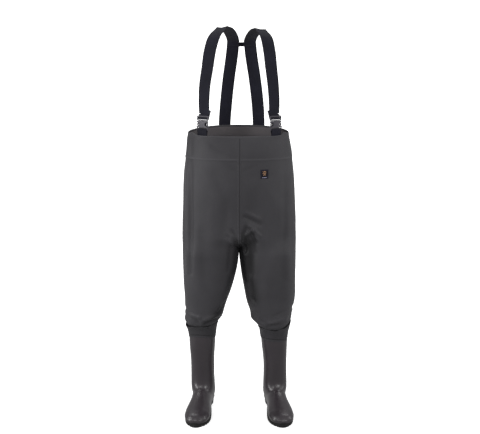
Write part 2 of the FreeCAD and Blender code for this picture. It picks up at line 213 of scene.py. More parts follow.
def buildMottle():
    # slow drift of tone over a large surface, with a fainter fine speckle
    group, given, out = newGroup("toneDrift", [("Light", "Color", (1, 1, 1, 1)),
                                               ("Dark", "Color", (0, 0, 0, 1)), ("Scale", "Float", 6.0),
                                               ("Speckle", "Float", 300.0)], [("Colour", "Color")])
    spot = addNode(group, "TexCoord").outputs["Object"]
    broad = addNode(group, "TexNoise", {"Vector": spot, "Scale": given.outputs["Scale"], "Detail": 3.0,
                                        "Roughness": 0.5})
    fine = addNode(group, "TexNoise", {"Vector": spot, "Scale": given.outputs["Speckle"], "Detail": 2.0})
    share = math2(group, "MULTIPLY_ADD", fine.outputs["Fac"], 0.3,
                  math2(group, "MULTIPLY", broad.outputs["Fac"], 0.8))
    span = addNode(group, "MapRange", {"Value": share, "From Min": 0.36, "From Max": 0.74})
    mix = addNode(group, "Mix", {0: span.outputs[0], 6: given.outputs["Dark"], 7: given.outputs["Light"]},
                  data_type="RGBA")
    group.links.new(mix.outputs[2], out.inputs["Colour"])
    return group


def buildWeave():
    # crossing threads on the cut cloth, in threads per metre
    group, given, out = newGroup("wovenThreads", [("Across", "Float", 900.0), ("Along", "Float", 900.0),
                                                  ("Unevenness", "Float", 0.3)], [("Height", "Float")])
    spot = addNode(group, "UVMap").outputs["UV"]
    split = addNode(group, "SeparateXYZ", {0: spot})
    turn = 6.28318
    across = math2(group, "MULTIPLY", split.outputs[0], given.outputs["Across"])
    along = math2(group, "MULTIPLY", split.outputs[1], given.outputs["Along"])
    warp = math2(group, "SINE", math2(group, "MULTIPLY", across, turn))
    weft = math2(group, "SINE", math2(group, "MULTIPLY", along, turn))
    crossing = math2(group, "MULTIPLY_ADD", math2(group, "MULTIPLY", warp, weft), 0.5,
                     math2(group, "MULTIPLY", weft, 0.35))
    rough = addNode(group, "TexNoise", {"Vector": spot, "Scale": 260.0, "Detail": 2.0}).outputs["Fac"]
    total = math2(group, "MULTIPLY_ADD", rough, given.outputs["Unevenness"], crossing)
    group.links.new(total, out.inputs["Height"])
    return group


def buildWear():
    # paler, rubbed edges and a scatter of scuffs
    group, given, out = newGroup("rubbedEdges", [("Edge", "Float", 0.5), ("Scuffs", "Float", 0.2),
                                                 ("Scale", "Float", 40.0)],
                                 [("Mask", "Float")])
    edge = addNode(group, "MapRange", {"Value": addNode(group, "NewGeometry").outputs["Pointiness"],
                                       "From Min": 0.52, "From Max": 0.62}).outputs[0]
    spot = addNode(group, "TexCoord").outputs["Object"]
    patch = addNode(group, "TexNoise", {"Vector": spot, "Scale": given.outputs["Scale"], "Detail": 6.0,
                                        "Roughness": 0.7})
    patch = addNode(group, "MapRange", {"Value": patch.outputs["Fac"], "From Min": 0.56,
                                        "From Max": 0.74}).outputs[0]
    mask = math2(group, "ADD", math2(group, "MULTIPLY", edge, given.outputs["Edge"]),
                 math2(group, "MULTIPLY", patch, given.outputs["Scuffs"]))
    clamp = addNode(group, "Clamp", {0: mask})
    group.links.new(clamp.outputs[0], out.inputs["Mask"])
    return group


groups = {"toneDrift": buildMottle(), "wovenThreads": buildWeave(), "rubbedEdges": buildWear()}


def useGroup(tree, name, **values):
    node = tree.nodes.new("ShaderNodeGroup")
    node.node_tree = groups[name]
    for label, value in values.items():
        node.inputs[label].default_value = value
    return node.outputs[0]


def newFinish(name, **constants):
    finish = bpy.data.materials.new(name)
    finish.use_nodes = True
    shader = finish.node_tree.nodes["Principled BSDF"]
    for label, value in constants.items():
        shader.inputs[label.replace("_", " ")].default_value = value
    return finish, finish.node_tree, shader


def mixColour(tree, share, first, second):
    return addNode(tree, "Mix", {0: share, 6: first, 7: second}, data_type="RGBA").outputs[2]


def addBump(tree, shader, height, distance, strength=1.0):
    bump = addNode(tree, "Bump", {"Strength": strength, "Distance": distance, "Height": height})
    tree.links.new(bump.outputs[0], shader.inputs["Normal"])


# on the outer cloth weldLight is a painted highlight along weld lines, on the label it is the hem's paler
# border; the fold shade colour is painted shade
clothLook = {"light": "3b3a3d", "dark": "323134", "weldLight": "4c4b4f", "paintedFoldShade": "0f0f10",
             "roughness": 0.5, "threads": 1100.0, "grain": 0.00012}


def makeCloth(name, look):
    finish, tree, shader = newFinish(name, IOR=1.4, Specular_IOR_Level=0.28, Sheen_Weight=0.02,
                                     Sheen_Roughness=0.4)
    tone = useGroup(tree, "toneDrift", Light=hexColour(look["light"]), Dark=hexColour(look["dark"]),
                    Scale=5.0, Speckle=420.0)
    # the weld mark paints a highlight along welds; the fold mark paints shade into folds, the crotch, the
    # inner thighs and the cuffs
    weld = addNode(tree, "Attribute", attribute_name="weld").outputs["Fac"]
    fold = addNode(tree, "Attribute", attribute_name="fold").outputs["Fac"]
    tone = mixColour(tree, weld, tone, hexColour(look["weldLight"]))
    tone = mixColour(tree, fold, tone, hexColour(look["paintedFoldShade"]))
    tree.links.new(tone, shader.inputs["Base Color"])
    spot = addNode(tree, "TexCoord").outputs["Object"]
    smear = addNode(tree, "TexNoise", {"Vector": spot, "Scale": 14.0, "Detail": 4.0}).outputs["Fac"]
    rough = addNode(tree, "MapRange", {"Value": smear, "To Min": look["roughness"] - 0.06,
                                       "To Max": look["roughness"] + 0.08})
    tree.links.new(rough.outputs[0], shader.inputs["Roughness"])
    grain = useGroup(tree, "wovenThreads", Across=look["threads"], Along=look["threads"], Unevenness=1.2)
    addBump(tree, shader, grain, look["grain"], 0.7)
    return finish


coatedCloth = makeCloth("coatedCloth", clothLook)
insideCloth = makeCloth("insideCloth", {**clothLook, "light": "5c585a", "dark": "4b484a", "roughness": 0.7,
                                        "grain": 0.0003, "threads": 700.0})
seamTape = makeCloth("seamTape", {**clothLook, "light": "403f42", "dark": "353437", "roughness": 0.45})

webLook = {"light": "1b1b27", "dark": "13131c", "edge": "0d0d13", "ribs": 520.0, "columns": 420.0}


def makeWebbing():
    finish, tree, shader = newFinish("braceWebbing", Roughness=0.85, IOR=1.4, Specular_IOR_Level=0.25,
                                     Sheen_Weight=0.06, Sheen_Roughness=0.5)
    tone = useGroup(tree, "toneDrift", Light=hexColour(webLook["light"]), Dark=hexColour(webLook["dark"]),
                    Scale=18.0, Speckle=900.0)
    # the weld mark darkens the strap edges and paints the shadow of the fold under the yoke
    edge = addNode(tree, "Attribute", attribute_name="weld").outputs["Fac"]
    tone = mixColour(tree, edge, tone, hexColour(webLook["edge"]))
    tree.links.new(tone, shader.inputs["Base Color"])
    threads = useGroup(tree, "wovenThreads", Across=webLook["columns"], Along=webLook["ribs"],
                       Unevenness=0.8)
    addBump(tree, shader, threads, 0.0005, 0.9)
    return finish


def makeThread():
    finish, tree, shader = newFinish("stitchThread", Roughness=0.7, Sheen_Weight=0.2)
    tone = useGroup(tree, "toneDrift", Light=hexColour("3c3b44"), Dark=hexColour("22222a"), Scale=300.0,
                    Speckle=1500.0)
    tree.links.new(tone, shader.inputs["Base Color"])
    spot = addNode(tree, "TexCoord").outputs["Object"]
    twist = addNode(tree, "TexWave", {"Vector": spot, "Scale": 900.0, "Distortion": 1.0}).outputs["Fac"]
    addBump(tree, shader, twist, 0.0002)
    return finish


def makeMoulded(name, look):
    # moulded plastic or rubber, with rubbed edges and a fine skin grain
    finish, tree, shader = newFinish(name, IOR=1.5, Coat_Roughness=0.25, Coat_Weight=look["coat"])
    tone = useGroup(tree, "toneDrift", Light=hexColour(look["light"]), Dark=hexColour(look["dark"]),
                    Scale=9.0, Speckle=260.0)
    wear = useGroup(tree, "rubbedEdges", Edge=look["edge"], Scuffs=look["scuffs"], Scale=34.0)
    tree.links.new(mixColour(tree, wear, tone, hexColour(look["worn"])), shader.inputs["Base Color"])
    spot = addNode(tree, "TexCoord").outputs["Object"]
    smear = addNode(tree, "TexNoise", {"Vector": spot, "Scale": 22.0, "Detail": 5.0,
                                       "Roughness": 0.6}).outputs["Fac"]
    span = {"Value": smear, "To Min": look["roughness"] - 0.07, "To Max": look["roughness"] + 0.09}
    rough = addNode(tree, "MapRange", span).outputs[0]
    tree.links.new(math2(tree, "MULTIPLY_ADD", wear, 0.2, rough), shader.inputs["Roughness"])
    skin = addNode(tree, "TexNoise", {"Vector": spot, "Scale": look["grainScale"],
                                      "Detail": 3.0}).outputs["Fac"]
    addBump(tree, shader, skin, look["grainDepth"], 0.6)
    return finish


mouldedLooks = {
    "bootRubber": {"light": "2c262b", "dark": "252024", "worn": "393338", "roughness": 0.34, "coat": 0.15,
                   "scuffs": 0.08, "edge": 0.15, "grainScale": 700.0, "grainDepth": 0.00005},
    "soleRubber": {"light": "0b0a0b", "dark": "070707", "worn": "151415", "roughness": 0.85, "coat": 0.0,
                   "scuffs": 0.35, "edge": 0.5, "grainScale": 500.0, "grainDepth": 0.0005},
    "bucklePlastic": {"light": "37343d", "dark": "2c2931", "worn": "504d57", "roughness": 0.48, "coat": 0.0,
                      "scuffs": 0.1, "edge": 0.5, "grainScale": 900.0, "grainDepth": 0.0002},
    "insoleFoam": {"light": "55524c", "dark": "45423d", "worn": "6b675f", "roughness": 0.9, "coat": 0.0,
                   "scuffs": 0.2, "edge": 0.35, "grainScale": 1200.0, "grainDepth": 0.0005},
}

webbing = makeWebbing()
stitchThread = makeThread()
moulded = {name: makeMoulded(name, look) for name, look in mouldedLooks.items()}
labelCloth = makeCloth("labelCloth", {**clothLook, "light": "15141d", "dark": "0f0e15",
                                      "weldLight": "2a2938", "roughness": 0.75, "threads": 800.0,
                                      "grain": 0.0003})


def makeEmbroidery(name, light, dark):
    finish, tree, shader = newFinish(name, Roughness=0.6, Sheen_Weight=0.3)
    tone = useGroup(tree, "toneDrift", Light=hexColour(light), Dark=hexColour(dark), Scale=260.0,
                    Speckle=1800.0)
    tree.links.new(tone, shader.inputs["Base Color"])
    spot = addNode(tree, "TexCoord").outputs["Object"]
    rows = addNode(tree, "TexWave", {"Vector": spot, "Scale": 420.0, "Distortion": 0.6},
                   bands_direction="DIAGONAL")
    addBump(tree, shader, rows.outputs["Fac"], 0.0003)
    return finish


tanThread = makeEmbroidery("tanThread", "c79a6e", "96694a")
paleThread = makeEmbroidery("paleThread", "9a98b4", "74728c")


def finishWith(piece, finish):
    piece.data.materials.clear()
    piece.data.materials.append(finish)
    return piece


# garment cut

trunkCut = {
    "power": 2.3,
    # height, half width, front depth, back depth
    "rows": [(700, 238, 132, 146), (722, 238, 132, 146), (780, 239, 135, 150), (899, 236, 140, 150),
             (1006, 231, 143, 147), (1128, 221.5, 141, 142), (1232, 208.5, 138, 138),
             (1270, 204.5, 137, 137)],
}
legCut = {
    "closeHigh": 802, "closeLow": 714,  # where the trunk closes into two legs
    # height, centre, half width, front depth, back depth, corner power
    "rows": [(340, 156, 66, 74, 76, 2.1), (392, 155, 74, 80, 83, 2.1), (435, 150, 84, 88, 92, 2.1),
             (484, 143, 93, 96, 102, 2.2), (573, 133, 105.5, 109, 119, 2.3), (640, 126, 112, 115, 128, 2.5),
             (722, 119, 119, 120, 134, 2.7), (820, 119, 119, 122, 138, 2.7)],
    # how far the inner side of each leg is pulled outwards
    "innerPull": {"left": [(390, -18), (420, -20), (450, -16), (490, -16), (573, -10), (640, -6), (722, 0)],
                  "right": [(390, 9), (435, 8), (490, 6), (573, -2), (640, -5), (722, 0)]},
    # how far the outer side stands out past the plain cut
    "outerPush": {"left": [(390, 4), (420, -3), (450, 1), (510, 10), (598, 8), (668, 9), (775, 8), (952, 8),
                           (1040, 6), (1128, 4), (1215, 1), (1260, 0)],
                  "right": [(390, 9), (420, 5), (450, 5), (510, 3), (598, 7), (668, 9), (775, 10), (952, 8),
                            (1040, 8), (1128, 7), (1215, 8), (1260, 8)]},
    "columns": 171, "rowStep": 4.5, "split": 585, "top": 1139, "thick": 0.9,
    # above this height both halves meet in the centre seams
    "joined": 716,
    # the bloused end goes into the cuff: height from the cuff's edge, and share of the way inside
    "endDrop": [-22, -16, -11, -7, -4, -1.5, 0, 1.5, 3.5, 6, 9, 13, 18, 24, 31],
    "endIn": [1.0, 1.0, 0.98, 0.92, 0.82, 0.7, 0.6, 0.5, 0.4, 0.3, 0.21, 0.12, 0.06, 0.02, 0],
    "endEase": 3.5, "hipSheet": (0.82, 0.56), "shinSheet": (0.68, 0.23),
}
# the hip from the crotch outwards and down, and the knee between two heights; the script does not bend the
# cloth with these
bendCut = {"crotch": 722.0, "hipWay": (0.6, 0, -0.8), "hipLength": 0.105, "kneeHigh": 545.0,
           "kneeLow": 436.0}
cuffCut = {
    "bottom": {"left": (322, 316, 308, 318), "right": (324, 337, 324, 330)},  # inner, front, outer, back
    "top": {"left": (388, 372, 404, 392), "right": (404, 388, 386, 396)},
    "ease": {"left": (19, 17, 21, 14), "right": (17, 17, 18, 14)},
    "columns": 128, "thick": 0.9, "sheet": (0.42, 0.085), "weldTop": 18, "weldStand": 4.0, "fullEase": 12,
    # the welded lower edge: height above the edge, and how far it stands off the boot
    "under": [(0, 0.9), (0.5, 1.6), (3, 2.0), (7, 2.0), (10, 2.1), (12.2, 2.1), (12.8, 2.6), (13.4, 3.6),
              (15, 4.0), (18, 4.0)],
    # the free part above it: share of the way up, and how far it stands off the boot
    "over": [(0.06, 4.2), (0.14, 4.6), (0.24, 5.0), (0.36, 5.6), (0.48, 6.6), (0.6, 7.9), (0.72, 9.4),
             (0.83, 10.8), (0.92, 11.6), (0.97, 12.0), (0.99, 11.8), (1.0, 11.2), (0.995, 10.4),
             (0.97, 9.9), (0.9, 9.3), (0.8, 8.4)],
}
bootCut = {
    "centre": 160.5, "toeOut": 6.5, "power": 2.3, "topSize": (58, 57, 59),
    # height, how far the shaft leans outwards there
    "lean": {"left": [(0, 0), (190, 0), (300, -4), (380, -7)],
             "right": [(0, 0), (24, 0), (150, 4), (380, 4)]},
    # instep point (y, z), heel or sole point (y, z), half width
    "slices": [(-57, 382, 59, 382, 58), (-56.5, 300, 58.5, 300, 57), (-52, 210, 55, 210, 51.5),
               (-50, 150, 53, 145, 51.5), (-54, 118, 56, 92, 52.5), (-62, 103, 62, 40, 51.5),
               (-71, 96, 50, 2, 46), (-84, 90, -20, 2, 44), (-102, 82, -80, 2, 45.5),
               (-130, 73, -125, 2, 50), (-165, 64, -165, 2, 53.5), (-203, 55, -206, 3, 49),
               (-229, 45, -233, 7, 35), (-240, 35, -243, 14, 19)],
    "soleTop": 19.6, "top": 377, "thick": 2.2, "rows": 170, "columns": 96,
}


def shaftLean(side, heights):
    rows = np.array(bootCut["lean"][side], float)
    return curveThrough(rows[:, 0], rows[:, 1], np.ravel(heights))[:, 0].reshape(np.shape(heights))


def bootRing(ease, share, side):
    # the boot's own ring under the cuff, grown by ease, in the wearer's left leg's place
    halfWidth, front, back = bootCut["topSize"]
    ring = ringPoints(0, halfWidth, front, back, bootCut["power"], -180, 180, 721)
    x = np.interp(share, np.linspace(0, 1, 721), ring[:, 0])
    y = np.interp(share, np.linspace(0, 1, 721), ring[:, 1])
    length = np.hypot(x, y)
    x, y = x * (1 + ease / length), y * (1 + ease / length)
    turn = math.radians(bootCut["toeOut"])
    middle = bootCut["centre"] + shaftLean(side, 370)
    return np.stack([middle + x * math.cos(turn) - y * math.sin(turn),
                     x * math.sin(turn) + y * math.cos(turn)], -1)


def garmentTable(side):
    # plan points of one half of the garment, every 3 mm of height, before any fold
    heights = np.arange(340, 1142, 3.0)
    trunkRows, legRows = np.array(trunkCut["rows"], float), np.array(legCut["rows"], float)
    trunkSizes = curveThrough(trunkRows[:, 0], trunkRows[:, 1:], heights)
    legSizes = curveThrough(legRows[:, 0], legRows[:, 1:], heights)
    pull = np.array(legCut["innerPull"][side], float)
    pulls = curveThrough(pull[:, 0], pull[:, 1], heights)[:, 0]
    push = np.array(legCut["outerPush"][side], float)
    pushes = curveThrough(push[:, 0], push[:, 1], heights)[:, 0]
    outer = np.sin(math.pi * np.linspace(0, 1, legCut["columns"])) ** 6
    share = 1 - easeStep(heights, legCut["closeLow"], legCut["closeHigh"])
    table = []
    for i in range(len(heights)):
        leg = ringPoints(*legSizes[i], -180, 180, legCut["columns"])
        inner = np.clip((legSizes[i][0] - leg[:, 0]) / legSizes[i][1], 0, 1) ** 1.5
        leg[:, 0] += pulls[i] * inner
        half, front, back = trunkSizes[i]
        trunk = ringPoints(0, half, front, back, trunkCut["power"], -90, 90, legCut["columns"])
        ring = trunk * (1 - share[i]) + leg * share[i]
        ring[:, 0] += pushes[i] * outer
        table.append(ring)
    return heights, np.array(table)


def onTable(heights, table, wanted):
    # wanted is rows x columns of heights
    out = np.zeros(wanted.shape + (3,))
    for c in range(wanted.shape[1]):
        out[:, c, 0] = np.interp(wanted[:, c], heights, table[:, c, 0])
        out[:, c, 1] = np.interp(wanted[:, c], heights, table[:, c, 1])
    out[..., 2] = wanted
    return out


# face, from (x, height), to (x, height), depth (minus is a ridge), width; +x is the wearer's left
folds = {
    "left": [
        ("front", 16, 800, 34, 862, 7, 10), ("front", 22, 814, 62, 840, -6, 8),
        ("front", 34, 862, 88, 812, -8, 7), ("front", 46, 842, 70, 778, 11, 10),
        ("front", 20, 804, 32, 758, -6, 5), ("front", 27, 800, 25, 732, 9, 6),
        ("front", 62, 776, 52, 640, 8, 17), ("front", 30, 700, 60, 520, 6, 15),
        ("front", 24, 896, 88, 862, 6, 10), ("front", 30, 912, 84, 884, -4, 9),
        ("front", 96, 1060, 150, 940, -3, 24), ("front", 60, 1000, 40, 900, 3, 22),
        ("front", 150, 760, 120, 560, -4, 26), ("front", 180, 800, 190, 520, 3, 22),
        ("front", 70, 1112, 20, 1090, 2, 9), ("front", 54, 524, 66, 506, 4, 6),
        ("front", 210, 1180, 212, 620, -2.5, 13), ("front", 190, 1180, 193, 620, 2, 13),
        ("front", 118, 408, 188, 428, -4, 7), ("front", 128, 396, 200, 412, 4, 6),
        ("front", 96, 420, 140, 400, 3, 7), ("front", 200, 468, 150, 446, 2.5, 9),
        ("back", 10, 800, 90, 900, 4, 16), ("back", 40, 780, 120, 836, 4, 14),
        ("back", 60, 500, 190, 470, 4, 11), ("back", 80, 452, 210, 440, 4, 9),
        ("back", 130, 700, 170, 560, 3, 22), ("side", -40, 470, 60, 452, 4, 9),
        ("side", -20, 436, 50, 430, 3, 7), ("side", 10, 820, 60, 700, 3, 24),
    ],
    "right": [
        ("front", -12, 806, -30, 838, 6, 8), ("front", -20, 792, -48, 812, 5, 7),
        ("front", -34, 806, -22, 740, -5, 8), ("front", -34, 760, -44, 660, 6, 14),
        ("front", -216, 1215, -221, 640, -6, 7), ("front", -199, 1215, -204, 640, 4, 8),
        ("front", -50, 960, -70, 780, 3, 20), ("front", -120, 900, -90, 640, -3.5, 26),
        ("front", -160, 820, -150, 560, 3, 20), ("front", -100, 1080, -60, 960, 2.5, 22),
        ("front", -232, 448, -172, 440, -5, 7), ("front", -174, 440, -160, 408, -6, 7),
        ("front", -196, 424, -176, 408, 5, 9), ("front", -150, 410, -92, 424, 9, 9),
        ("front", -150, 430, -84, 446, -6, 9), ("front", -72, 476, -92, 452, 5, 6),
        ("front", -60, 500, -74, 486, 4, 5), ("front", -56, 516, -66, 506, -3, 5),
        ("front", -140, 1216, -70, 1146, 2.5, 13), ("front", -111, 1188, -38, 1142, 2.0, 11),
        ("front", -58, 1118, -13, 1085, 2.0, 13), ("back", -10, 800, -90, 890, 4, 16),
        ("back", -60, 496, -180, 470, 4, 11), ("back", -90, 448, -200, 436, 4, 9),
        ("back", -40, 770, -120, 820, 3.5, 14), ("back", -120, 680, -160, 560, 3, 22),
        ("side", -40, 462, 60, 448, 4, 9), ("side", -20, 430, 50, 424, 3, 7),
    ],
}


# painted shade where cloth lies against cloth in the crotch and inner thighs: from (x, height), to (x,
# height), strength, width
shadedZones = {
    "left": [(28, 806, 44, 650, 0.85, 30), (46, 640, 62, 520, 0.75, 26), (2, 796, 4, 740, 0.85, 16),
             (58, 800, 66, 740, 0.55, 13), (18, 720, 34, 600, 0.85, 18), (60, 524, 66, 500, 0.5, 9)],
    "right": [(-12, 800, -26, 640, 0.5, 15), (-2, 796, -4, 740, 0.8, 14), (-40, 620, -56, 520, 0.35, 12),
              (-78, 478, -120, 424, 0.6, 13), (-120, 416, -150, 408, 0.6, 8)],
}


def foldDepth(points, normals, side):
    depth = np.zeros(points.shape[:2])
    dark = np.zeros(points.shape[:2])
    for face, x0, h0, x1, h1, deep, wide in folds[side]:
        if face == "side":
            flat, facing = points[..., 1], np.clip(normals[..., 0] * sides[side] * 2 - 0.6, 0, 1)
        else:
            toward = -1 if face == "front" else 1
            flat, facing = points[..., 0], np.clip(normals[..., 1] * toward * 1.6 + 0.15, 0, 1)
        run = np.array([x1 - x0, h1 - h0], float)
        t = np.clip(((flat - x0) * run[0] + (points[..., 2] - h0) * run[1]) / (run @ run), 0, 1)
        away = np.hypot(flat - x0 - t * run[0], points[..., 2] - h0 - t * run[1])
        near = np.exp(-(away / wide) ** 2) * facing * (0.45 + 0.55 * np.sin(math.pi * (0.12 + 0.76 * t)))
        depth += deep * near
        # painted shade in the valleys of the folds
        dark += np.maximum(deep, 0) / 26 * near
    # painted shade where cloth lies against cloth
    for x0, h0, x1, h1, strong, wide in shadedZones[side]:
        run = np.array([x1 - x0, h1 - h0], float)
        t = np.clip(((points[..., 0] - x0) * run[0] + (points[..., 2] - h0) * run[1]) / (run @ run), 0, 1)
        away = np.hypot(points[..., 0] - x0 - t * run[0], points[..., 2] - h0 - t * run[1])
        dark = np.maximum(dark, strong * np.exp(-(away / wide) ** 2) * np.clip(0.6 - normals[..., 1], 0, 1))
    return depth, np.clip(dark, 0, 0.85)


def garmentGrid(side):
    sign = sides[side]
    heights, table = garmentTable(side)
    share = np.linspace(0, 1, legCut["columns"])
    cuffTop = roundAbout(cuffCut["top"][side], share)
    endDrop, endIn = np.array(legCut["endDrop"]), np.array(legCut["endIn"])
    climb = np.linspace(0, 1, 36)[1:]
    lower = np.concatenate([cuffTop[None] + endDrop[:, None],
                            cuffTop[None] + endDrop[-1] + climb[:, None]
                            * (legCut["split"] - cuffTop[None] - endDrop[-1])])
    upper = np.arange(legCut["split"] + legCut["rowStep"], legCut["top"], legCut["rowStep"])
    wanted = np.concatenate([lower, np.repeat(upper[:, None], len(share), 1)])
    points = onTable(heights, table, wanted)
    inside = bootRing(legCut["endEase"], share, side)
    went = np.zeros(len(wanted))
    went[:len(endIn)] = endIn
    points[..., :2] += (inside[None] - points[..., :2]) * went[:, None, None]
    points[..., 0] *= sign
    normals = gridNormals(points) * sign
    above = wanted - cuffTop[None]
    blouse = np.exp(-((above - 30) / 19) ** 2) * (3.0 + 5 * softNoise(points, (34, 34, 60), 3.1 * sign))
    deep, dark = foldDepth(points, normals, side)
    drift = softNoise(points, (110, 130, 260), 7.7 + sign) * 3.2
    drift += softNoise(points, (60, 60, 90), 2.3 + sign) * 1.3
    hang = 1 - easeStep(wanted, 1060, 1128)
    calm = (0.25 + 0.75 * hang) * (1 - np.clip(went, 0, 1))[:, None]
    joined = wanted > legCut["joined"]
    seamEase = np.minimum(easeStep(share, 0, 0.03), easeStep(1 - share, 0, 0.03))[None]
    push = (blouse + drift * hang - deep) * calm * np.where(joined, seamEase, 1)
    points += normals * push[..., None]
    # small crumples over the boot
    kink = softNoise(points, (24, 24, 22), 11.0) * np.exp(-((above - 34) / 42) ** 2) * 2.0 * calm
    points += normals * kink[..., None]
    points[:, 0, 0] = np.where(joined[:, 0], 0, points[:, 0, 0])
    points[:, -1, 0] = np.where(joined[:, -1], 0, points[:, -1, 0])
    closedRows = ~joined[:, 0]
    points[closedRows, -1] = points[closedRows, 0]
    # painted shade where the leg goes into the cuff
    dark = np.clip(dark + 0.5 * went[:, None], 0, 0.8)
    return points, dark, len(lower) - 1


def bendAtHip(piece):
    crotch = placed([0.0, 0.0, bendCut["crotch"]])
    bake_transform(piece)


def makeGarmentHalf(side, sign):
    points, dark, seamRow = garmentGrid(side)
    hipPiece = gridPiece(side + "TrunkAndThigh", points[seamRow:], flip=sign < 0, thick=legCut["thick"],
                         marks={"fold": dark[seamRow:]})
    shinPiece = gridPiece(side + "BlousedShin", points[:seamRow + 1], flip=sign < 0, thick=legCut["thick"],
                          marks={"fold": dark[:seamRow + 1]})
    for piece in (hipPiece, shinPiece):
        finishWith(piece, coatedCloth)
    bendAtHip(hipPiece)
    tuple(placed([0.0, 0.0, bendCut["kneeHigh"]]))
    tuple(placed([0.0, 0.0, bendCut["kneeLow"]]))
    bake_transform(shinPiece)
    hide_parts(side + "_trunk_panel", side + "_hip_fabric", side + "_leg_fabric")
    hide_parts(side + "_knee_fabric")
    return points


garments = {side: makeGarmentHalf(side, sign) for side, sign in sides.items()}
print("garment halves done")


# chest band

bandCut = {"low": 1129, "proud": 1.2, "columns": 280, "rimRise": 0.078, "rimCurve": 3.5e-4,
           "rimSide": 1234.5, "drawnUp": 9, "thick": 0.9, "seamEase": 3, "sheet": (1.24, 0.125),
           # the top edge is turned over: how far in, and how far up, each row of the roll lies
           "rollIn": [0.5, 1.2, 2.0, 2.6, 2.9, 2.9], "rollUp": [0.45, 0.8, 0.8, 0.3, -0.8, -7.0],
           "facingFrom": 0.6, "facingIn": 2.6, "facingSheet": (1.23, 0.038),
           "liningFrom": 0.05, "liningTo": 0.68, "liningIn": 1.7, "liningThick": 0.5,
           "liningSheet": (1.21, 0.066)}


def rimHeight(x, y):
    # the braces draw the front edge up a little towards the sides
    drawn = bandCut["drawnUp"] * np.exp(-((np.abs(x) - 190) / 13) ** 2) * (y < 0)
    return bandCut["rimSide"] + bandCut["rimRise"] * y + bandCut["rimCurve"] * y * y + drawn


def trunkRing(heights, grow, columns):
    # rows of a full ring round the trunk; heights is rows x columns
    rows = np.array(trunkCut["rows"], float)
    steps = np.arange(1100, 1270, 5.0)
    sizes = curveThrough(rows[:, 0], rows[:, 1:], steps)
    rings = np.array([ringPoints(0, a + grow, f + grow, b + grow, trunkCut["power"], -90, 270,
                                 columns + 1)[:-1] for a, f, b in sizes])
    out = np.zeros(heights.shape + (3,))
    for c in range(columns):
        out[:, c, 0] = np.interp(heights[:, c], steps, rings[:, c, 0])
        out[:, c, 1] = np.interp(heights[:, c], steps, rings[:, c, 1])
    out[..., 2] = heights
    return out


def makeChestBand():
    columns = bandCut["columns"]
    probe = trunkRing(np.full((1, columns), 1235.0), 0, columns)[0]
    rim = rimHeight(probe[:, 0], probe[:, 1])
    climb = np.concatenate([[0, 0.008, 0.02, 0.035, 0.055, 0.08, 0.1], np.linspace(0.13, 0.95, 26),
                            [0.965, 0.98, 0.995]])
    bandHeights = bandCut["low"] + climb[:, None] * (rim[None] - bandCut["low"])
    bandPoints = trunkRing(bandHeights, bandCut["proud"], columns)
    for side, sign in sides.items():
        push = np.array(legCut["outerPush"][side], float)
        pushes = curveThrough(push[:, 0], push[:, 1], bandHeights.ravel())[:, 0].reshape(bandHeights.shape)
        bandPoints[..., 0] += sign * pushes * np.clip(sign * bandPoints[..., 0] / 215, 0, 1) ** 5
    bandNormals = gridNormals(bandPoints)
    wave = softNoise(bandPoints, (90, 90, 120), 5.5) * 2.2
    deepLeft, darkLeft = foldDepth(bandPoints, bandNormals, "left")
    deepRight, darkRight = foldDepth(bandPoints, bandNormals, "right")
    settle = easeStep(climb, 0.02, 0.3)[:, None] * (1 - 0.4 * easeStep(climb, 0.8, 1.0)[:, None])
    onLeft = bandPoints[..., 0] > 0
    bead = 0.9 * np.exp(-((climb - 0.06) / 0.018) ** 2) + 0.5 * np.exp(-((climb - 0.955) / 0.012) ** 2)
    pushed = wave * settle - np.where(onLeft, deepLeft, deepRight) * settle + bead[:, None]
    bandPoints += bandNormals * pushed[..., None]
    rollIn, rollUp = np.array(bandCut["rollIn"]), np.array(bandCut["rollUp"])
    topNormal = bandNormals[-1]
    roll = bandPoints[-1][None] - topNormal[None] * rollIn[:, None, None]
    roll[..., 2] = bandPoints[-1][None, :, 2] + rollUp[:, None]
    # painted highlight along the lower weld, the top edge and the roll; painted shade in the folds
    weldHighlight = np.concatenate([np.exp(-((climb - 0.055) / 0.022) ** 2) * 0.35
                               + np.exp(-((climb - 0.985) / 0.014) ** 2) * 0.25, [0.3, 0.25, 0.1, 0, 0, 0]])
    darkMark = np.concatenate([np.where(onLeft, darkLeft, darkRight) * settle, np.zeros((6, columns))])
    allBand = np.concatenate([bandPoints, roll])
    chestBand = gridPiece("chestBand", allBand, closed=True, thick=bandCut["thick"],
                          marks={"weld": np.repeat(weldHighlight[:, None], columns, 1), "fold": darkMark * 0.7})
    finishWith(chestBand, coatedCloth)
    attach(chestBand, "trunk")
    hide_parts("chest_band")

    innerLift = bandNormals * (1 - 0.15 * climb[:, None, None])
    facingRows = np.where(climb > bandCut["facingFrom"])[0]
    facingPoints = bandPoints[facingRows] - innerLift[facingRows] * bandCut["facingIn"]
    facingPoints[-1, :, 2] -= 2.5
    facingPoints[-2, :, 2] -= 1.5
    facingMark = np.exp(-((climb[facingRows] - 0.64) / 0.02) ** 2)[:, None] * 0.5
    facing = gridPiece("chestFacing", facingPoints, closed=True, thick=bandCut["thick"],
                       marks={"weld": np.repeat(facingMark, columns, 1)})
    finishWith(facing, insideCloth)
    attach(facing, "trunk")
    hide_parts("chest_band_facing")

    # lining cloth shows below the facing when one looks in at the top
    liningRows = np.where((climb > bandCut["liningFrom"]) & (climb < bandCut["liningTo"]))[0]
    liningPoints = bandPoints[liningRows] - innerLift[liningRows] * bandCut["liningIn"]
    bibLining = gridPiece("bibLining", liningPoints, closed=True, thick=bandCut["liningThick"])
    finishWith(bibLining, insideCloth)
    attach(bibLining, "trunk")


makeChestBand()
print("chest band done")


# centre seams

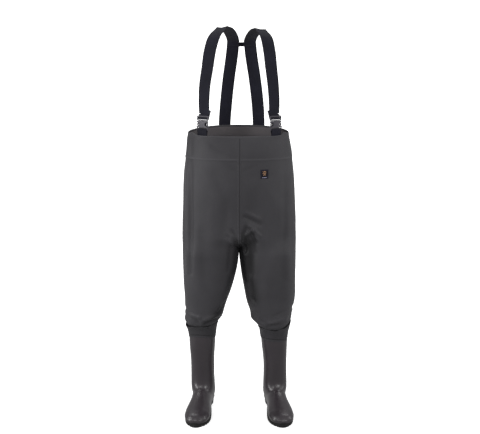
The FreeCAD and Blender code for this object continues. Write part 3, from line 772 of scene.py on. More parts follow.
seamCut = {"halfWidth": 6.5, "proud": 1.1, "step": 6.0, "lowest": 718, "thick": 0.8, "sheet": 0.52,
           "frontTop": 1227, "backTop": 1246, "tapeThick": 0.6, "tapeIn": 2.0, "tapeLow": 730,
           "tapeHigh": 1118, "tapeSheet": (0.013, 0.395), "inseamLow": 548, "inseamHigh": 626,
           "inseamIn": 1.9, "inseamSheet": (0.025, 0.078)}


def surfaceRows(front):
    # the centre line of the garment from the crotch to the rim, with its neighbours on both sides
    rows = []
    for sign, side in ((-1, "right"), (1, "left")):
        grid = garments[side]
        if not front:
            grid = grid[:, ::-1]
        keep = grid[:, 0, 2] >= legCut["joined"]
        rows.append(grid[keep][:, :5])
    return rows


def seamStrip(name, front):
    right, left = surfaceRows(front)
    spread = np.array([-1, -0.86, -0.7, -0.3, 0, 0.3, 0.7, 0.86, 1.0]) * seamCut["halfWidth"]
    heightUp = np.array([0.0, 0.55, 1, 1, 1, 1, 1, 0.55, 0.0]) * seamCut["proud"]
    lines = []
    for r in range(len(left)):
        height = left[r, 0, 2]
        if height < seamCut["lowest"]:
            continue
        x = np.concatenate([right[r, :0:-1, 0], left[r, :, 0]])
        y = np.concatenate([right[r, :0:-1, 1], left[r, :, 1]])
        lines.append([(s, np.interp(s, x, y), height) for s in spread])
    # carry on over the chest band
    last = lines[-1][4][2]
    top = seamCut["frontTop"] if front else seamCut["backTop"]
    for height in np.arange(last + seamCut["step"], top, seamCut["step"]):
        ring = trunkRing(np.full((1, bandCut["columns"]), height), bandCut["proud"], bandCut["columns"])[0]
        face = ring[:, 1] < 0 if front else ring[:, 1] > 0
        order = np.argsort(ring[face, 0])
        lines.append([(s, np.interp(s, ring[face, 0][order], ring[face, 1][order]), height)
                      for s in spread])
    strip = np.array(lines)
    if not front:
        strip = strip[:, ::-1]
    normal = gridNormals(strip)
    high = strip[:, 4, 2] > 1121
    besideBand = strip[:, 4, 2] < last + bandCut["seamEase"]
    underBand = (np.where(high, bandCut["proud"], 0) * besideBand)[:, None]
    push = np.repeat(heightUp[None], len(strip), 0) + underBand
    strip += normal * push[..., None]
    # painted shade in a line down the middle of the lap and a painted highlight along its edge beyond it
    marks = np.repeat(np.array([0.0, 0, 0, 0, 0, 0, 0.15, 0.4, 0.3])[None], len(strip), 0)
    shade = np.repeat(np.array([0.1, 0.05, 0, 0, 0.2, 0.6, 0.3, 0, 0])[None], len(strip), 0)
    piece = gridPiece(name, strip, thick=seamCut["thick"], marks={"weld": marks, "fold": shade})
    finishWith(piece, coatedCloth)
    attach(piece, "trunk")
    return strip


def innerTape(name, strip, node):
    back = strip - gridNormals(strip) * (seamCut["proud"] + seamCut["tapeIn"])
    keep = (back[:, 4, 2] > seamCut["tapeLow"]) & (back[:, 4, 2] < seamCut["tapeHigh"])
    tape = gridPiece(name, back[keep], thick=seamCut["tapeThick"])
    finishWith(tape, seamTape)
    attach(tape, "trunk")
    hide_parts(node)


def makeInseamTape(side, sign):
    grid = garments[side]
    rows = grid[(grid[:, 0, 2] > seamCut["inseamLow"]) & (grid[:, 0, 2] < seamCut["inseamHigh"])]
    tape = np.concatenate([rows[:, -4:-1], rows[:, :4]], 1)
    tape = tape - gridNormals(tape) * sign * seamCut["inseamIn"]
    piece = gridPiece(side + "InseamTape", tape, flip=sign < 0, thick=seamCut["tapeThick"])
    finishWith(piece, seamTape)
    bendAtHip(piece)
    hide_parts(side + "_inseam_tape")


for name, front in (("front", True), ("back", False)):
    strip = seamStrip(name + "CentreLap", front)
    innerTape(name + "SeamTape", strip, name + "_seam_tape")
for side, sign in sides.items():
    makeInseamTape(side, sign)
print("seams done")


# cuffs

def makeCuff(side):
    sign = sides[side]
    share = np.linspace(0, 1, cuffCut["columns"] + 1)[:-1]
    low = roundAbout(cuffCut["bottom"][side], share)
    high = roundAbout(cuffCut["top"][side], share)
    ease = roundAbout(cuffCut["ease"][side], share)
    under, over = cuffCut["under"], cuffCut["over"]
    rows = []
    for rise, stand in under:
        plan = bootRing(stand, share, side)
        rows.append(np.column_stack([plan, low + rise]))
    for climb, stand in over:
        grow = cuffCut["weldStand"] + (stand - cuffCut["weldStand"]) * ease / cuffCut["fullEase"]
        outer = bootRing(0.0, share, side)
        away = bootRing(1.0, share, side) - outer
        plan = outer + away * grow[:, None]
        rows.append(np.column_stack([plan, low + cuffCut["weldTop"] + climb
                                     * (high - low - cuffCut["weldTop"])]))
    points = np.array(rows)
    points[..., 0] *= sign
    normals = gridNormals(points) * sign
    free = np.concatenate([np.zeros(len(under)), [c for c, s in over]])[:, None]
    crumple = softNoise(points, (26, 26, 34), 4.4 * sign) * 3.0 * free
    crumple += softNoise(points, (11, 11, 60), 1.9 + sign) * 0.8 * free
    points += normals * crumple[..., None]
    points[..., 2] += (softNoise(points, (30, 30, 999), 8.8 + sign) * 5.0) * free
    # painted highlight along the weld near the lower edge; the shade mark is painted shade over the whole
    # cuff, deeper at the weld's top and at the top edge
    marks = np.zeros(points.shape[:2])
    marks[1:3] = 0.3
    shade = np.full(points.shape[:2], 0.24)
    shade[4:8] = 0.5
    shade[-4:] = 0.5
    cuff = gridPiece(side + "Cuff", points, closed=True, flip=sign < 0, thick=cuffCut["thick"],
                     marks={"weld": marks, "fold": shade})
    finishWith(cuff, coatedCloth)
    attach(cuff, side + "_boot")
    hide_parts(side + "_boot_cuff")


# boots

def bootGrid():
    table = np.array(bootCut["slices"], float)
    travel = np.concatenate([[0], np.cumsum(np.hypot((np.diff(table[:, 0]) + np.diff(table[:, 2])) / 2,
                                                     (np.diff(table[:, 1]) + np.diff(table[:, 3])) / 2))])
    sizes = curveThrough(travel, table, np.linspace(0, travel[-1], bootCut["rows"]))
    turn = np.linspace(0, 2 * math.pi, 721)
    rows = []
    for y0, z0, y1, z1, half in sizes:
        along = np.sign(np.cos(turn)) * np.abs(np.cos(turn)) ** (2 / bootCut["power"])
        across = half * np.sign(np.sin(turn)) * np.abs(np.sin(turn)) ** (2 / bootCut["power"])
        y = (y0 + y1) / 2 + (y1 - y0) / 2 * along
        z = (z0 + z1) / 2 + (z1 - z0) / 2 * along
        run = np.concatenate([[0], np.cumsum(np.sqrt(np.diff(across) ** 2 + np.diff(y) ** 2
                                                     + np.diff(z) ** 2))])
        want = np.linspace(0, run[-1], bootCut["columns"] + 1)[:-1]
        rows.append(np.stack([np.interp(want, run, v) for v in (across, y, z)], 1))
    for share, forward in ((0.5, -2.0), (0.02, -0.6)):  # the toe's end is drawn together
        middle = rows[-1].mean(0)
        rows.append(np.repeat(middle[None], bootCut["columns"], 0) + (rows[-1] - middle) * share
                    + [0, forward, 0])
    return np.array(rows)


bootDetail = {
    "foxingTop": 35, "foxing": 1.7, "toeCap": -178, "toeCapProud": 0.35, "heelCup": 74, "heelCupProud": 1.0,
    "spurHeight": 112, "spurTall": 7.0, "spur": 3.0,
    "ankleFolds": (192, 170), "foldDeep": 0.12, "foldTall": 5.5,
    "mouldLine": 0.5, "mouldLineHalf": 1.2,
    "badgeHeight": 222, "badge": (20, 8), "badgeProud": 0.55, "badgeRim": 0.13,
    "drift": 0.7, "driftSize": (70, 70, 120),
    # where the shaft was folded flat for packing
    "packHeight": 262, "packLean": 0.3, "packTall": 26, "packHalf": 34, "packDeep": 1.2,
}


def bootRelief(points, side):
    # moulded detail on the boot, in the boot's own place: + is proud
    cut = bootDetail
    x, y, z = points[..., 0], points[..., 1], points[..., 2]
    seed = 3.0 if side == "left" else 9.0
    relief = cut["foxing"] * (1 - easeStep(z, cut["foxingTop"] - 1.6, cut["foxingTop"]))
    cap = cut["toeCapProud"] * (1 - easeStep(y, cut["toeCap"] - 9, cut["toeCap"]))
    relief = relief + cap * easeStep(z, 33, 36)
    cup = (1 - easeStep(z, cut["heelCup"] - 2, cut["heelCup"])) * easeStep(y - (z - 40) * 0.2, 14, 18)
    relief = relief + cut["heelCupProud"] * cup
    spur = np.exp(-((z - cut["spurHeight"]) / cut["spurTall"]) ** 2) * easeStep(y, 34, 46)
    relief = relief + cut["spur"] * spur
    for i, height in enumerate(cut["ankleFolds"]):
        bend = height + 7 * np.sin(x / 24 + seed + i) - 0.10 * (y + 50)
        front = 1 - easeStep(y, -34, 10)
        deep = cut["foldDeep"] * (0.5 + 0.5 * math.sin(seed * 2 + 2.1 * i))
        relief = relief - deep * np.exp(-((z - bend) / cut["foldTall"]) ** 2) * front
    seam = np.exp(-(x / cut["mouldLineHalf"]) ** 2) * np.where(y > 30, 1, 0) * easeStep(z, 120, 140)
    relief = relief + cut["mouldLine"] * seam
    wide, tall = cut["badge"]
    ring = np.sqrt((x / wide) ** 2 + ((z - cut["badgeHeight"]) / tall) ** 2)
    badge = cut["badgeProud"] * np.exp(-((ring - 1) / cut["badgeRim"]) ** 2)
    relief = relief + badge * np.where(y < 0, 1, 0)
    relief = relief + softNoise(points, cut["driftSize"], seed) * cut["drift"] * easeStep(z, 60, 150)
    dent = np.exp(-((z - cut["packHeight"] - cut["packLean"] * x) / cut["packTall"]) ** 2)
    return relief - cut["packDeep"] * dent * np.where(y < 0, 1, 0) * np.exp(-(x / cut["packHalf"]) ** 2)


def inBootPlace(points, sign):
    turn = math.radians(bootCut["toeOut"])
    out = points.copy()
    outward = shaftLean("left" if sign > 0 else "right", points[..., 2])
    across = bootCut["centre"] + outward + points[..., 0] * math.cos(turn)
    out[..., 0] = sign * (across - points[..., 1] * math.sin(turn))
    out[..., 1] = points[..., 0] * math.sin(turn) + points[..., 1] * math.cos(turn)
    return out


def makeBoot(side):
    sign = sides[side]
    points = bootGrid()
    normals = gridNormals(points)
    outward = np.sign((normals[5, 0] @ np.array([0, 1.0, 0])))
    points += normals * outward * bootRelief(points, side)[..., None]
    points[..., 2] = np.maximum(points[..., 2], bootCut["soleTop"])
    keep = points[:, :, 2].min(1) < bootCut["top"]
    boot = gridPiece(side + "BootUpper", inBootPlace(points[keep], sign), closed=True,
                     flip=sign * outward < 0)
    shell = boot.modifiers.new("thickness", "SOLIDIFY")
    shell.thickness = bootCut["thick"] * mm
    shell.offset = -1
    finishWith(boot, moulded["bootRubber"])
    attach(boot, side + "_boot")
    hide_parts(side + "_boot_upper")


randCut = {
    # height, inset from the sole's edge
    "profile": [(7.2, 0.6), (7.8, -0.6), (10, -1.2), (13, -1.3), (14, -0.4), (15.2, -0.4), (16.2, -1.4),
                (20, -1.6), (22.5, -1.2), (23.6, 0.2), (23.9, 2.4), (23.6, 5.0)],
    # half of the sole's edge from heel to toe: place along the foot, half width
    "edge": [(60, 0), (46, 34), (5, 40), (-50, 40), (-105, 49), (-160, 55), (-205, 46), (-234, 25),
             (-246, 0)],
    "columns": 432, "ribSpacing": 4.6, "rib": 0.8, "ribLow": 7.5, "ribHigh": 13.5, "plainFrom": -150,
    "plainTo": 0, "plainShare": 0.35, "archLift": 4.6, "archFront": (-54, -48), "archBack": (3, 9),
    "thick": 1.2,
}


def makeRand(side):
    # the ribbed strip round the edge of the sole
    sign = sides[side]
    half = np.array(randCut["edge"], float)
    loop = np.vstack([half, (half * [1, -1])[-2:0:-1]])
    ringed = np.vstack([loop[-2:], loop, loop[:3]])
    fine = curveThrough(np.arange(-2, len(loop) + 3), ringed, np.linspace(0, len(loop), 1441))
    run = np.concatenate([[0], np.cumsum(np.linalg.norm(np.diff(fine, axis=0), axis=1))])
    want = np.linspace(0, run[-1], randCut["columns"] + 1)[:-1]
    edge = np.stack([np.interp(want, run, fine[:, 1]), np.interp(want, run, fine[:, 0])], 1)
    tangent = np.roll(edge, -1, 0) - np.roll(edge, 1, 0)
    outward = np.stack([tangent[:, 1], -tangent[:, 0]], 1) / np.linalg.norm(tangent, axis=1, keepdims=True)
    if (outward[0] @ np.array([0, 1.0])) < 0:
        outward = -outward
    ribbed = (edge[:, 1] < randCut["plainFrom"]) | (edge[:, 1] > randCut["plainTo"])
    ribs = np.where(np.sin(want / randCut["ribSpacing"] * math.pi) > 0.1, randCut["rib"], 0.0)
    ribs = ribs * np.where(ribbed, 1, randCut["plainShare"])
    behindFore = easeStep(edge[:, 1], *randCut["archFront"])
    beforeHeel = 1 - easeStep(edge[:, 1], *randCut["archBack"])
    arch = behindFore * beforeHeel * randCut["archLift"]
    rows = []
    for height, inset in randCut["profile"]:
        ribHere = ribs if randCut["ribLow"] < height < randCut["ribHigh"] else 0 * ribs
        plan = edge - outward * (inset - ribHere)[:, None]
        lift = arch * (1 - easeStep(height, 8, 14))
        rows.append(np.column_stack([plan, height + lift]))
    points = np.array(rows)
    turned = gridNormals(points)[3, 0] @ np.append(outward[0], 0)
    rand = gridPiece(side + "SoleRand", inBootPlace(points, sign), closed=True, flip=sign * turned < 0,
                     thick=randCut["thick"])
    finishWith(rand, moulded["soleRubber"])
    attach(rand, side + "_boot")


for side in sides:
    makeBoot(side)
    makeRand(side)
    makeCuff(side)
    finishWith(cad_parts[side + "_boot_outsole"], moulded["soleRubber"])
    finishWith(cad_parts[side + "_boot_insole"], moulded["insoleFoam"])
    finishWith(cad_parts[side + "_boot_lining"], insideCloth)
print("boots and cuffs done")


# braces

webCut = {"width": 53.0, "thick": 1.8, "release": 45.0, "linkWidth": 18.0, "loopWidth": 50,
          "loopThick": 1.7, "yokeShadeHeight": 1600, "yokeShadeTall": 3.0}
# rows of stitches: heights, half length, how far back, how many, thread
stitchCut = {"yoke": {"heights": (1603, 1592), "half": 23, "back": 150.6, "count": 15, "thread": 0.8},
             "link": {"heights": (1591.5, 1602.5), "half": 50, "back": 158.8, "count": 32, "thread": 0.5}}


def ribbonGrid(path, across, width, thick, step=4.0):
    # closed cross sections along a smooth centre line; across is the width direction at each point
    path = np.array(path, float)
    across = np.array(across, float)
    run = np.concatenate([[0], np.cumsum(np.linalg.norm(np.diff(path, axis=0), axis=1))])
    along = np.linspace(0, run[-1], max(6, int(run[-1] / step)))
    centre = curveThrough(run, path, along)
    wide = curveThrough(run, across, along)
    tangent = np.gradient(centre, axis=0)
    tangent /= np.linalg.norm(tangent, axis=1, keepdims=True)
    wide -= tangent * (wide * tangent).sum(1, keepdims=True)
    wide /= np.linalg.norm(wide, axis=1, keepdims=True)
    face = np.cross(wide, tangent)
    half, deep = width / 2, thick / 2
    spread = np.array([-1, -0.985, -0.93, -0.86, -0.6, -0.3, 0, 0.3, 0.6, 0.86, 0.93, 0.985, 1])
    swell = np.array([0.35, 0.85, 1.0, 0.8, 0.86, 0.9, 0.9, 0.9, 0.86, 0.8, 1.0, 0.85, 0.35])
    outline = [(s * half, g * deep) for s, g in zip(spread, swell)]
    outline += [(s * half, -g * deep) for s, g in zip(spread[::-1], swell[::-1])]
    rows = [[centre[i] + wide[i] * u + face[i] * v for u, v in outline] for i in range(len(centre))]
    edge = np.repeat(np.array([abs(u) / half > 0.9 for u, v in outline], float)[None] * 0.7, len(rows), 0)
    return np.array(rows), edge, run[-1]


def ribbonPiece(name, path, across, width=None, thick=None, place=None, flip=False, mark=None):
    points, edge, length = ribbonGrid(path, across, width or webCut["width"], thick or webCut["thick"])
    if place is not None:
        points = place(points)
    if mark is not None:
        edge = np.maximum(edge, mark(points))
    piece = gridPiece(name, points, closed=True, flip=flip, marks={"weld": edge}, caps=True)
    finishWith(piece, webbing)
    return piece, length


# the buckle's own directions at the wearer's left
buckleSpot = {"base": (149.927, -88.092, 1289.0), "across": (0.816992, 0.576649, 0.0),
              "back": (-0.574872, 0.814473, -0.078459), "up": (-0.045243, 0.064100, 0.996917)}


def atBuckle(sign):
    axes = np.array([buckleSpot["across"], buckleSpot["back"], buckleSpot["up"]])

    def move(points):
        out = points @ axes + np.array(buckleSpot["base"])
        out[..., 0] *= sign
        return out
    return move


bracePaths = {
    "left": {
        "front": [(144.5, -78.3, 1316.9), (143.5, -84.0, 1372), (138.5, -80.5, 1440), (131.5, -69, 1500),
                  (122.5, -46, 1578), (111, -22, 1627), (88, 12, 1658.5)],
        "shoulder": [(88, 12, 1658.5), (72, 52, 1654), (56, 105, 1635), (46, 147.5, 1608), (46, 151, 1588)],
        "back": [(46, 153.8, 1608), (51, 154.6, 1560), (68, 152.5, 1450), (81, 148, 1340),
                 (85, 134.6, 1267), (85.5, 137.9, 1218), (86.5, 140.4, 1185)]},
    "right": {
        "front": [(-144.5, -78.3, 1316.9), (-144.5, -84.0, 1372), (-140, -80.5, 1440), (-130.5, -69, 1500),
                  (-118.5, -46, 1578), (-101.5, -22, 1630), (-72, 12, 1665.5)],
        "shoulder": [(-72, 12, 1665.5), (-51, 52, 1659), (-34, 105, 1637), (-26, 147.5, 1608),
                     (-26, 151, 1588)],
        "back": [(-26, 153.8, 1608), (-30.5, 154.6, 1560), (-46, 153.5, 1450), (-58, 149, 1340),
                 (-63.5, 138.2, 1267), (-65, 141.4, 1218), (-66.5, 143.8, 1185)]},
}
braceTurns = {"front": [(35.2, 0), (31, 0), (26, 0), (21, 0), (15, 0), (13, -0.15), (16, -0.2)],
              "shoulder": [(16, -0.2), (13, -0.15), (6, -0.08), (0, 0), (0, 0)],
              "back": [(0, 0), (0, 0), (-3, 0), (-6, 0), (-12, 0), (-12, 0), (-12, 0)]}


def turnedRows(part, sign):
    rows = [(math.radians(turn), drop) for turn, drop in braceTurns[part]]
    return [(math.cos(turn), sign * math.sin(turn), sign * drop) for turn, drop in rows]


def stitchRow(name, middle, height, facing, look, gap=0.35):
    # short raised stitches across the yoke; facing is 1 to the back and -1 to the front
    start, end = (np.array([middle + x, look["back"], height], float)
                  for x in (-look["half"], look["half"]))
    normal, count, thread = np.array([0.0, facing, 0.0]), look["count"], look["thread"]
    work = bmesh.new()
    run = (end - start) / count
    long = np.linalg.norm(run) * (1 - gap)
    direction = run / np.linalg.norm(run)
    sideways = np.cross(normal, direction)
    for i in range(count):
        centre = start + run * (i + 0.5)
        profile = []
        for k in np.linspace(-1, 1, 5):
            rise = thread * 0.9 * math.sqrt(max(0, 1 - k * k)) + 0.05
            for turn in range(6):
                a = turn * math.pi / 3
                spot = centre + direction * k * long / 2 + sideways * math.cos(a) * thread * 0.5
                profile.append(work.verts.new(placed(spot + normal * (rise + math.sin(a) * thread * 0.4))))
        for row in range(4):
            for turn in range(6):
                a, b = row * 6 + turn, row * 6 + (turn + 1) % 6
                work.faces.new([profile[a], profile[b], profile[b + 6], profile[a + 6]])
        work.faces.new(profile[5::-1])
        work.faces.new(profile[24:30])
    bmesh.ops.recalc_face_normals(work, faces=work.faces)
    mesh = bpy.data.meshes.new(name)
    for face in work.faces:
        face.smooth = True
    work.to_mesh(mesh)
    work.free()
    piece = addObject(name, mesh)
    finishWith(piece, stitchThread)
    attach(piece, "trunk")


def makeBraces(side, sign):
    paths = bracePaths[side]
    lower, lowerLength = ribbonPiece(side + "FrontBrace", paths["front"], turnedRows("front", sign))
    pull = Vector(buckleSpot["up"])
    pull.x *= sign
    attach(lower, "trunk")
    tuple(placed(paths["front"][-1]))
    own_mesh(lower)
    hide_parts(side + "_front_brace")
    over, overLength = ribbonPiece(side + "ShoulderBrace", paths["shoulder"], turnedRows("shoulder", sign))
    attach(over, "trunk")
    # the back brace has a painted shadow where it is folded under the yoke
    behind, behindLength = ribbonPiece(
        side + "BackBrace", paths["back"], turnedRows("back", sign),
        mark=lambda p: 0.9 * np.exp(-((p[..., 2] - webCut["yokeShadeHeight"]) / webCut["yokeShadeTall"]) ** 2))
    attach(behind, "trunk")
    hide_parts(side + "_back_brace")
    for height in stitchCut["yoke"]["heights"]:
        stitchRow(side + "YokeStitch" + str(height), paths["back"][0][0], height, -1, stitchCut["yoke"])


def makeYokeLink():
    middle = (bracePaths["left"]["back"][0][0] + bracePaths["right"]["back"][0][0]) / 2
    path = [(middle + x, y, 1597) for x, y in ((-54, 157.6), (0, 157.9), (54, 157.6))]
    link, length = ribbonPiece("yokeLink", path, [(0, 0, 1)] * 3, width=webCut["linkWidth"])
    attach(link, "trunk")
    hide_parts("yoke_link")
    for height in stitchCut["link"]["heights"]:
        stitchRow("linkStitch" + str(int(height)), middle, height, 1, stitchCut["link"])


for side, sign in sides.items():
    makeBraces(side, sign)
makeYokeLink()
print("braces done")


# side-release buckles

def roundCorners(points, radius):
    # a polygon with each corner turned in an arc
    out = []
    count = len(points)
    for i in range(count):
        here = np.array(points[i], float)
        before = np.array(points[i - 1], float) - here
        after = np.array(points[(i + 1) % count], float) - here
        cut = min(radius, np.linalg.norm(before) * 0.45, np.linalg.norm(after) * 0.45)
        a = here + before / np.linalg.norm(before) * cut
        b = here + after / np.linalg.norm(after) * cut
        for t in (0, 0.25, 0.5, 0.75, 1):
            out.append(a * (1 - t) ** 2 + here * 2 * t * (1 - t) + b * t * t)
    return out


def plateMesh(outlines, low, high, bevel, radius=1.5):
    # flat moulding from outlines in (across, up), its edges rounded; later outlines are holes
    curve = bpy.data.curves.new("plate", "CURVE")
    curve.dimensions = "2D"
    curve.fill_mode = "BOTH"
    curve.extrude = (high - low) / 2 - bevel
    curve.bevel_depth = bevel
    curve.bevel_resolution = 2
    curve.offset = -bevel
    for outline in outlines:
        rounded = roundCorners(outline, radius)
        spline = curve.splines.new("POLY")
        spline.points.add(len(rounded) - 1)
        for point, (x, z) in zip(spline.points, rounded):
            point.co = (x, z, 0, 1)
        spline.use_cyclic_u = True
    holder = addObject("plate", curve)
    bpy.context.view_layer.update()
    evaluated = holder.evaluated_get(bpy.context.evaluated_depsgraph_get())
    mesh = bpy.data.meshes.new_from_object(evaluated)
    bpy.data.objects.remove(holder)
    spots = np.array([v.co for v in mesh.vertices])
    turned90 = np.stack([spots[:, 0], (low + high) / 2 - spots[:, 2], spots[:, 1]], 1)
    return turned90, [list(p.vertices) for p in mesh.polygons]


def mouldedPiece(name, parts, sign, body, node):
    move = atBuckle(sign)
    verts, faces = [], []
    for spots, polygons in parts:
        start = len(verts)
        verts += placed(move(spots)).tolist()
        for polygon in polygons:
            ring = [start + i for i in polygon]
            faces.append(ring if sign > 0 else ring[::-1])
    mesh = bpy.data.meshes.new(name)
    mesh.from_pydata(verts, [], faces)
    work = bmesh.new()
    work.from_mesh(mesh)
    bmesh.ops.remove_doubles(work, verts=work.verts, dist=2e-6)
    bmesh.ops.recalc_face_normals(work, faces=work.faces)
    for edge in work.edges:
        edge.smooth = edge.calc_face_angle(0) < 0.6
    for face in work.faces:
        face.smooth = True
    work.to_mesh(mesh)
    work.free()
    piece = addObject(name, mesh)
    finishWith(piece, moulded["bucklePlastic"])
    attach(piece, body)
    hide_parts(node)


def box2d(x0, x1, z0, z1):
    return [(x0, z0), (x1, z0), (x1, z1), (x0, z1)]


def both(half):
    # a closed outline from its right half, bottom to top
    return half + [(-x, z) for x, z in half[::-1]]


buckleCut = {
    "half": 28.5,  # half its width
    # right halves of the outlines as (across, up), measured from the foot of the tongue
    "socket": [(28.5, -27.2), (28.5, -24.5), (26.5, -22.2), (19.0, -20.3), (15.6, -16.5), (15.4, -10.5),
               (18.2, -7.0), (26.0, -5.4), (27.4, -2.6), (24.5, 0)],
    "arm": [(15, -0.9), (19.6, -0.9), (23.8, -6), (26.8, -12), (27.2, -17), (25.6, -20.4), (22.2, -20.4),
            (23.4, -14.5), (20.6, -8), (15, -4.3)],
    "shellIn": 3.95, "shellOut": 6.5, "foot": 4.6, "bar": 2.5, "tongue": 3.5, "prong": 2.2, "armHalf": 3.1,
    "ridges": (-21.4, -18.4, -15.4), "ridgeTall": 1.4, "ridgeHalf": 8,
    "grips": (-9.5, -12.3, -15.1),
    # the webbing round the socket's bar, sewn down inside the bib: across, back, up
    "loop": [(0, 1.05, -96), (0, 1.05, -72), (0, 1.1, -52), (0, 2.6, -43), (0, 3.8, -38), (0, 3.7, -34),
             (0, 0, -31.6), (0, -3.7, -34), (0, -3.8, -38), (0, -2.6, -43), (0, -1.1, -52), (0, -1.05, -72),
             (0, -1.05, -96)],
    # the brace threaded round the ladder bar, its tail hanging free behind, to the inner side
    "fold": [(0, 4.8, 28), (0, 4.8, 19), (0, 4.3, 15.6), (0, 1.5, 14.4), (0, -2.2, 14.3), (0, -4.7, 12.9),
             (0, -4.9, 10.4), (0, -4.4, 7.4), (0, -1.8, 6.6), (-0.3, 3.0, 6.5), (-0.8, 6.6, 7.6),
             (-1.4, 7.5, 13), (-4, 7.9, 24), (-7.5, 8.4, 36), (-12, 9.4, 50)],
    "foldTurns": [(1, 0, 0)] * 10 + [(1, 0, 0.05), (1, 0, 0.12), (1, 0.03, 0.2), (1, 0.08, 0.26),
                                     (1, 0.14, 0.3)],
}


def makeSocket(side, sign):
    cut, half = buckleCut, buckleCut["half"]
    parts = [plateMesh([both(cut["socket"])], -cut["shellOut"], -cut["shellIn"], 0.9),
             plateMesh([both(cut["socket"])], cut["shellIn"], cut["shellOut"], 0.9),
             plateMesh([both([(half, -38), (half, -25.5)]), box2d(-25.8, 25.8, -33, -27.2)], -cut["bar"],
                       cut["bar"], 1.0, 2.5),
             plateMesh([both([(half, -27.2), (half, -24.8), (18.5, -23.2)])], -cut["foot"], cut["foot"],
                       0.5),
             plateMesh([both([(12.5, -23.5), (13.6, -14), (11.0, -4.5)])], -7.3, -6.0, 0.5, 3.0)]
    for z in cut["ridges"]:
        parts.append(plateMesh([box2d(-cut["ridgeHalf"], cut["ridgeHalf"], z, z + cut["ridgeTall"])], -7.9,
                               -7.0, 0.3, 0.6))
    mouldedPiece(side + "BuckleSocket", parts, sign, "trunk", side + "_buckle_socket")


def makeTongue(side, sign):
    cut, half = buckleCut, buckleCut["half"]
    slots = [box2d(-25.6, 25.6, 4.6, 8.8), box2d(-25.6, 25.6, 12.2, 16.4)]
    frame2d = both([(23.5, 0.6), (half, 4.0), (half, 21.6)])
    parts = [plateMesh([frame2d] + slots, -cut["tongue"], cut["tongue"], 1.1, 2.2),
             plateMesh([box2d(-26.5, 26.5, 18.6, 21.0)], -4.4, 2.6, 0.7, 1.1),
             plateMesh([box2d(-6, 6, -23, 1.6)], -cut["prong"], cut["prong"], 0.6)]
    mouldedPiece(side + "BuckleTongue", parts, sign, side + "_tongue", side + "_buckle_tongue")


def makeArm(side, sign, name, turn):
    cut = buckleCut
    outline = [(turn * x, z) for x, z in cut["arm"]]
    if turn < 0:
        outline.reverse()
    parts = [plateMesh([outline], -cut["armHalf"], cut["armHalf"], 0.8, 1.0)]
    for z in cut["grips"]:
        out = np.interp(-z, [6, 12, 17], [23.8, 26.8, 27.2])
        edges = sorted([turn * (out - 1.6), turn * (out + 0.5)])
        parts.append(plateMesh([box2d(*edges, z - 0.6, z + 0.6)], -2.6, 2.6, 0.3, 0.4))
    mouldedPiece(side + "Buckle" + name + "Arm", parts, sign, side + "_" + name.lower() + "_latch",
                 side + "_buckle_" + name.lower() + "_arm")


def foldedWeb(name, path, turns, sign, body, node):
    piece, length = ribbonPiece(name, path, turns, place=atBuckle(sign), flip=sign < 0,
                                width=webCut["loopWidth"], thick=webCut["loopThick"])
    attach(piece, body)
    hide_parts(node)


def makeBuckle(side):
    sign = sides[side]
    makeSocket(side, sign)
    makeTongue(side, sign)
    makeArm(side, sign, "Outer", 1)
    makeArm(side, sign, "Inner", -1)
    foldedWeb(side + "WebbingLoop", buckleCut["loop"], [(1, 0, 0)] * len(buckleCut["loop"]), sign, "trunk",
              side + "_webbing_loop")
    foldedWeb(side + "BraceFold", buckleCut["fold"], buckleCut["foldTurns"], sign, side + "_tongue",
              side + "_brace_fold")


for side in sides:
    makeBuckle(side)
print("buckles done")


# patches on the cloth

def trunkDepth(x, height, face):
    rows = np.array(trunkCut["rows"], float)
    half, front, back = curveThrough(rows[:, 0], rows[:, 1:], [height])[0]
    depth = front if face < 0 else back
    return face * depth * (1 - abs(x / half) ** trunkCut["power"]) ** (1 / trunkCut["power"])


def patchGrid(x, height, width, tall, face, lift, count=25):
    # a patch that follows the trunk, its rim turned down to the cloth
    rows = []
    for v in np.linspace(-1, 1, count):
        line = []
        for u in np.linspace(-1, 1, count):
            px, pz = x + u * width / 2 * face * -1, height + v * tall / 2
            rimNear = max(abs(u), abs(v)) > 0.999
            raised = lift * (0.1 if rimNear else 1.0)
            y = trunkDepth(px, pz, face)
            slope = (trunkDepth(px + 1, pz, face) - trunkDepth(px - 1, pz, face)) / 2
            normal = np.array([-slope, 1.0, 0]) if face > 0 else np.array([slope, -1.0, 0])
            normal /= np.linalg.norm(normal)
            line.append(np.array([px, y, pz]) + normal * raised)
        rows.append(line)
    return np.array(rows)


anchorCut = {"height": 1198.5, "width": 70, "tall": 44, "lift": 5.6, "thick": 1.0}


def makeBackAnchor(side):
    grid = patchGrid(bracePaths[side]["back"][-2][0], anchorCut["height"], anchorCut["width"],
                     anchorCut["tall"], 1, anchorCut["lift"])
    anchor = gridPiece(side + "BackAnchor", grid, thick=anchorCut["thick"])
    finishWith(anchor, coatedCloth)
    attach(anchor, "trunk")
    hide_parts(side + "_back_anchor")


labelCut = {"x": 104, "height": 1074, "width": 33, "tall": 38, "lift": 2.6, "thick": 0.8, "hem": 0.48,
            "waves": 3, "waveTop": 10.5, "waveStep": 6.4, "waveHigh": 1.5, "waveHalf": 8, "waveWidth": 2.3,
            "barHeight": -13.5, "barHalf": 10, "barWidth": 2.6}


def makeLabel():
    grid = patchGrid(labelCut["x"], labelCut["height"], labelCut["width"], labelCut["tall"], -1,
                     labelCut["lift"])
    hem = np.zeros(grid.shape[:2])
    hem[1:3] = hem[-3:-1] = hem[:, 1:3] = hem[:, -3:-1] = labelCut["hem"]
    label = gridPiece("labelPatch", grid, thick=labelCut["thick"], marks={"weld": hem})
    finishWith(label, labelCloth)
    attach(label, "trunk")
    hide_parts("label_patch")


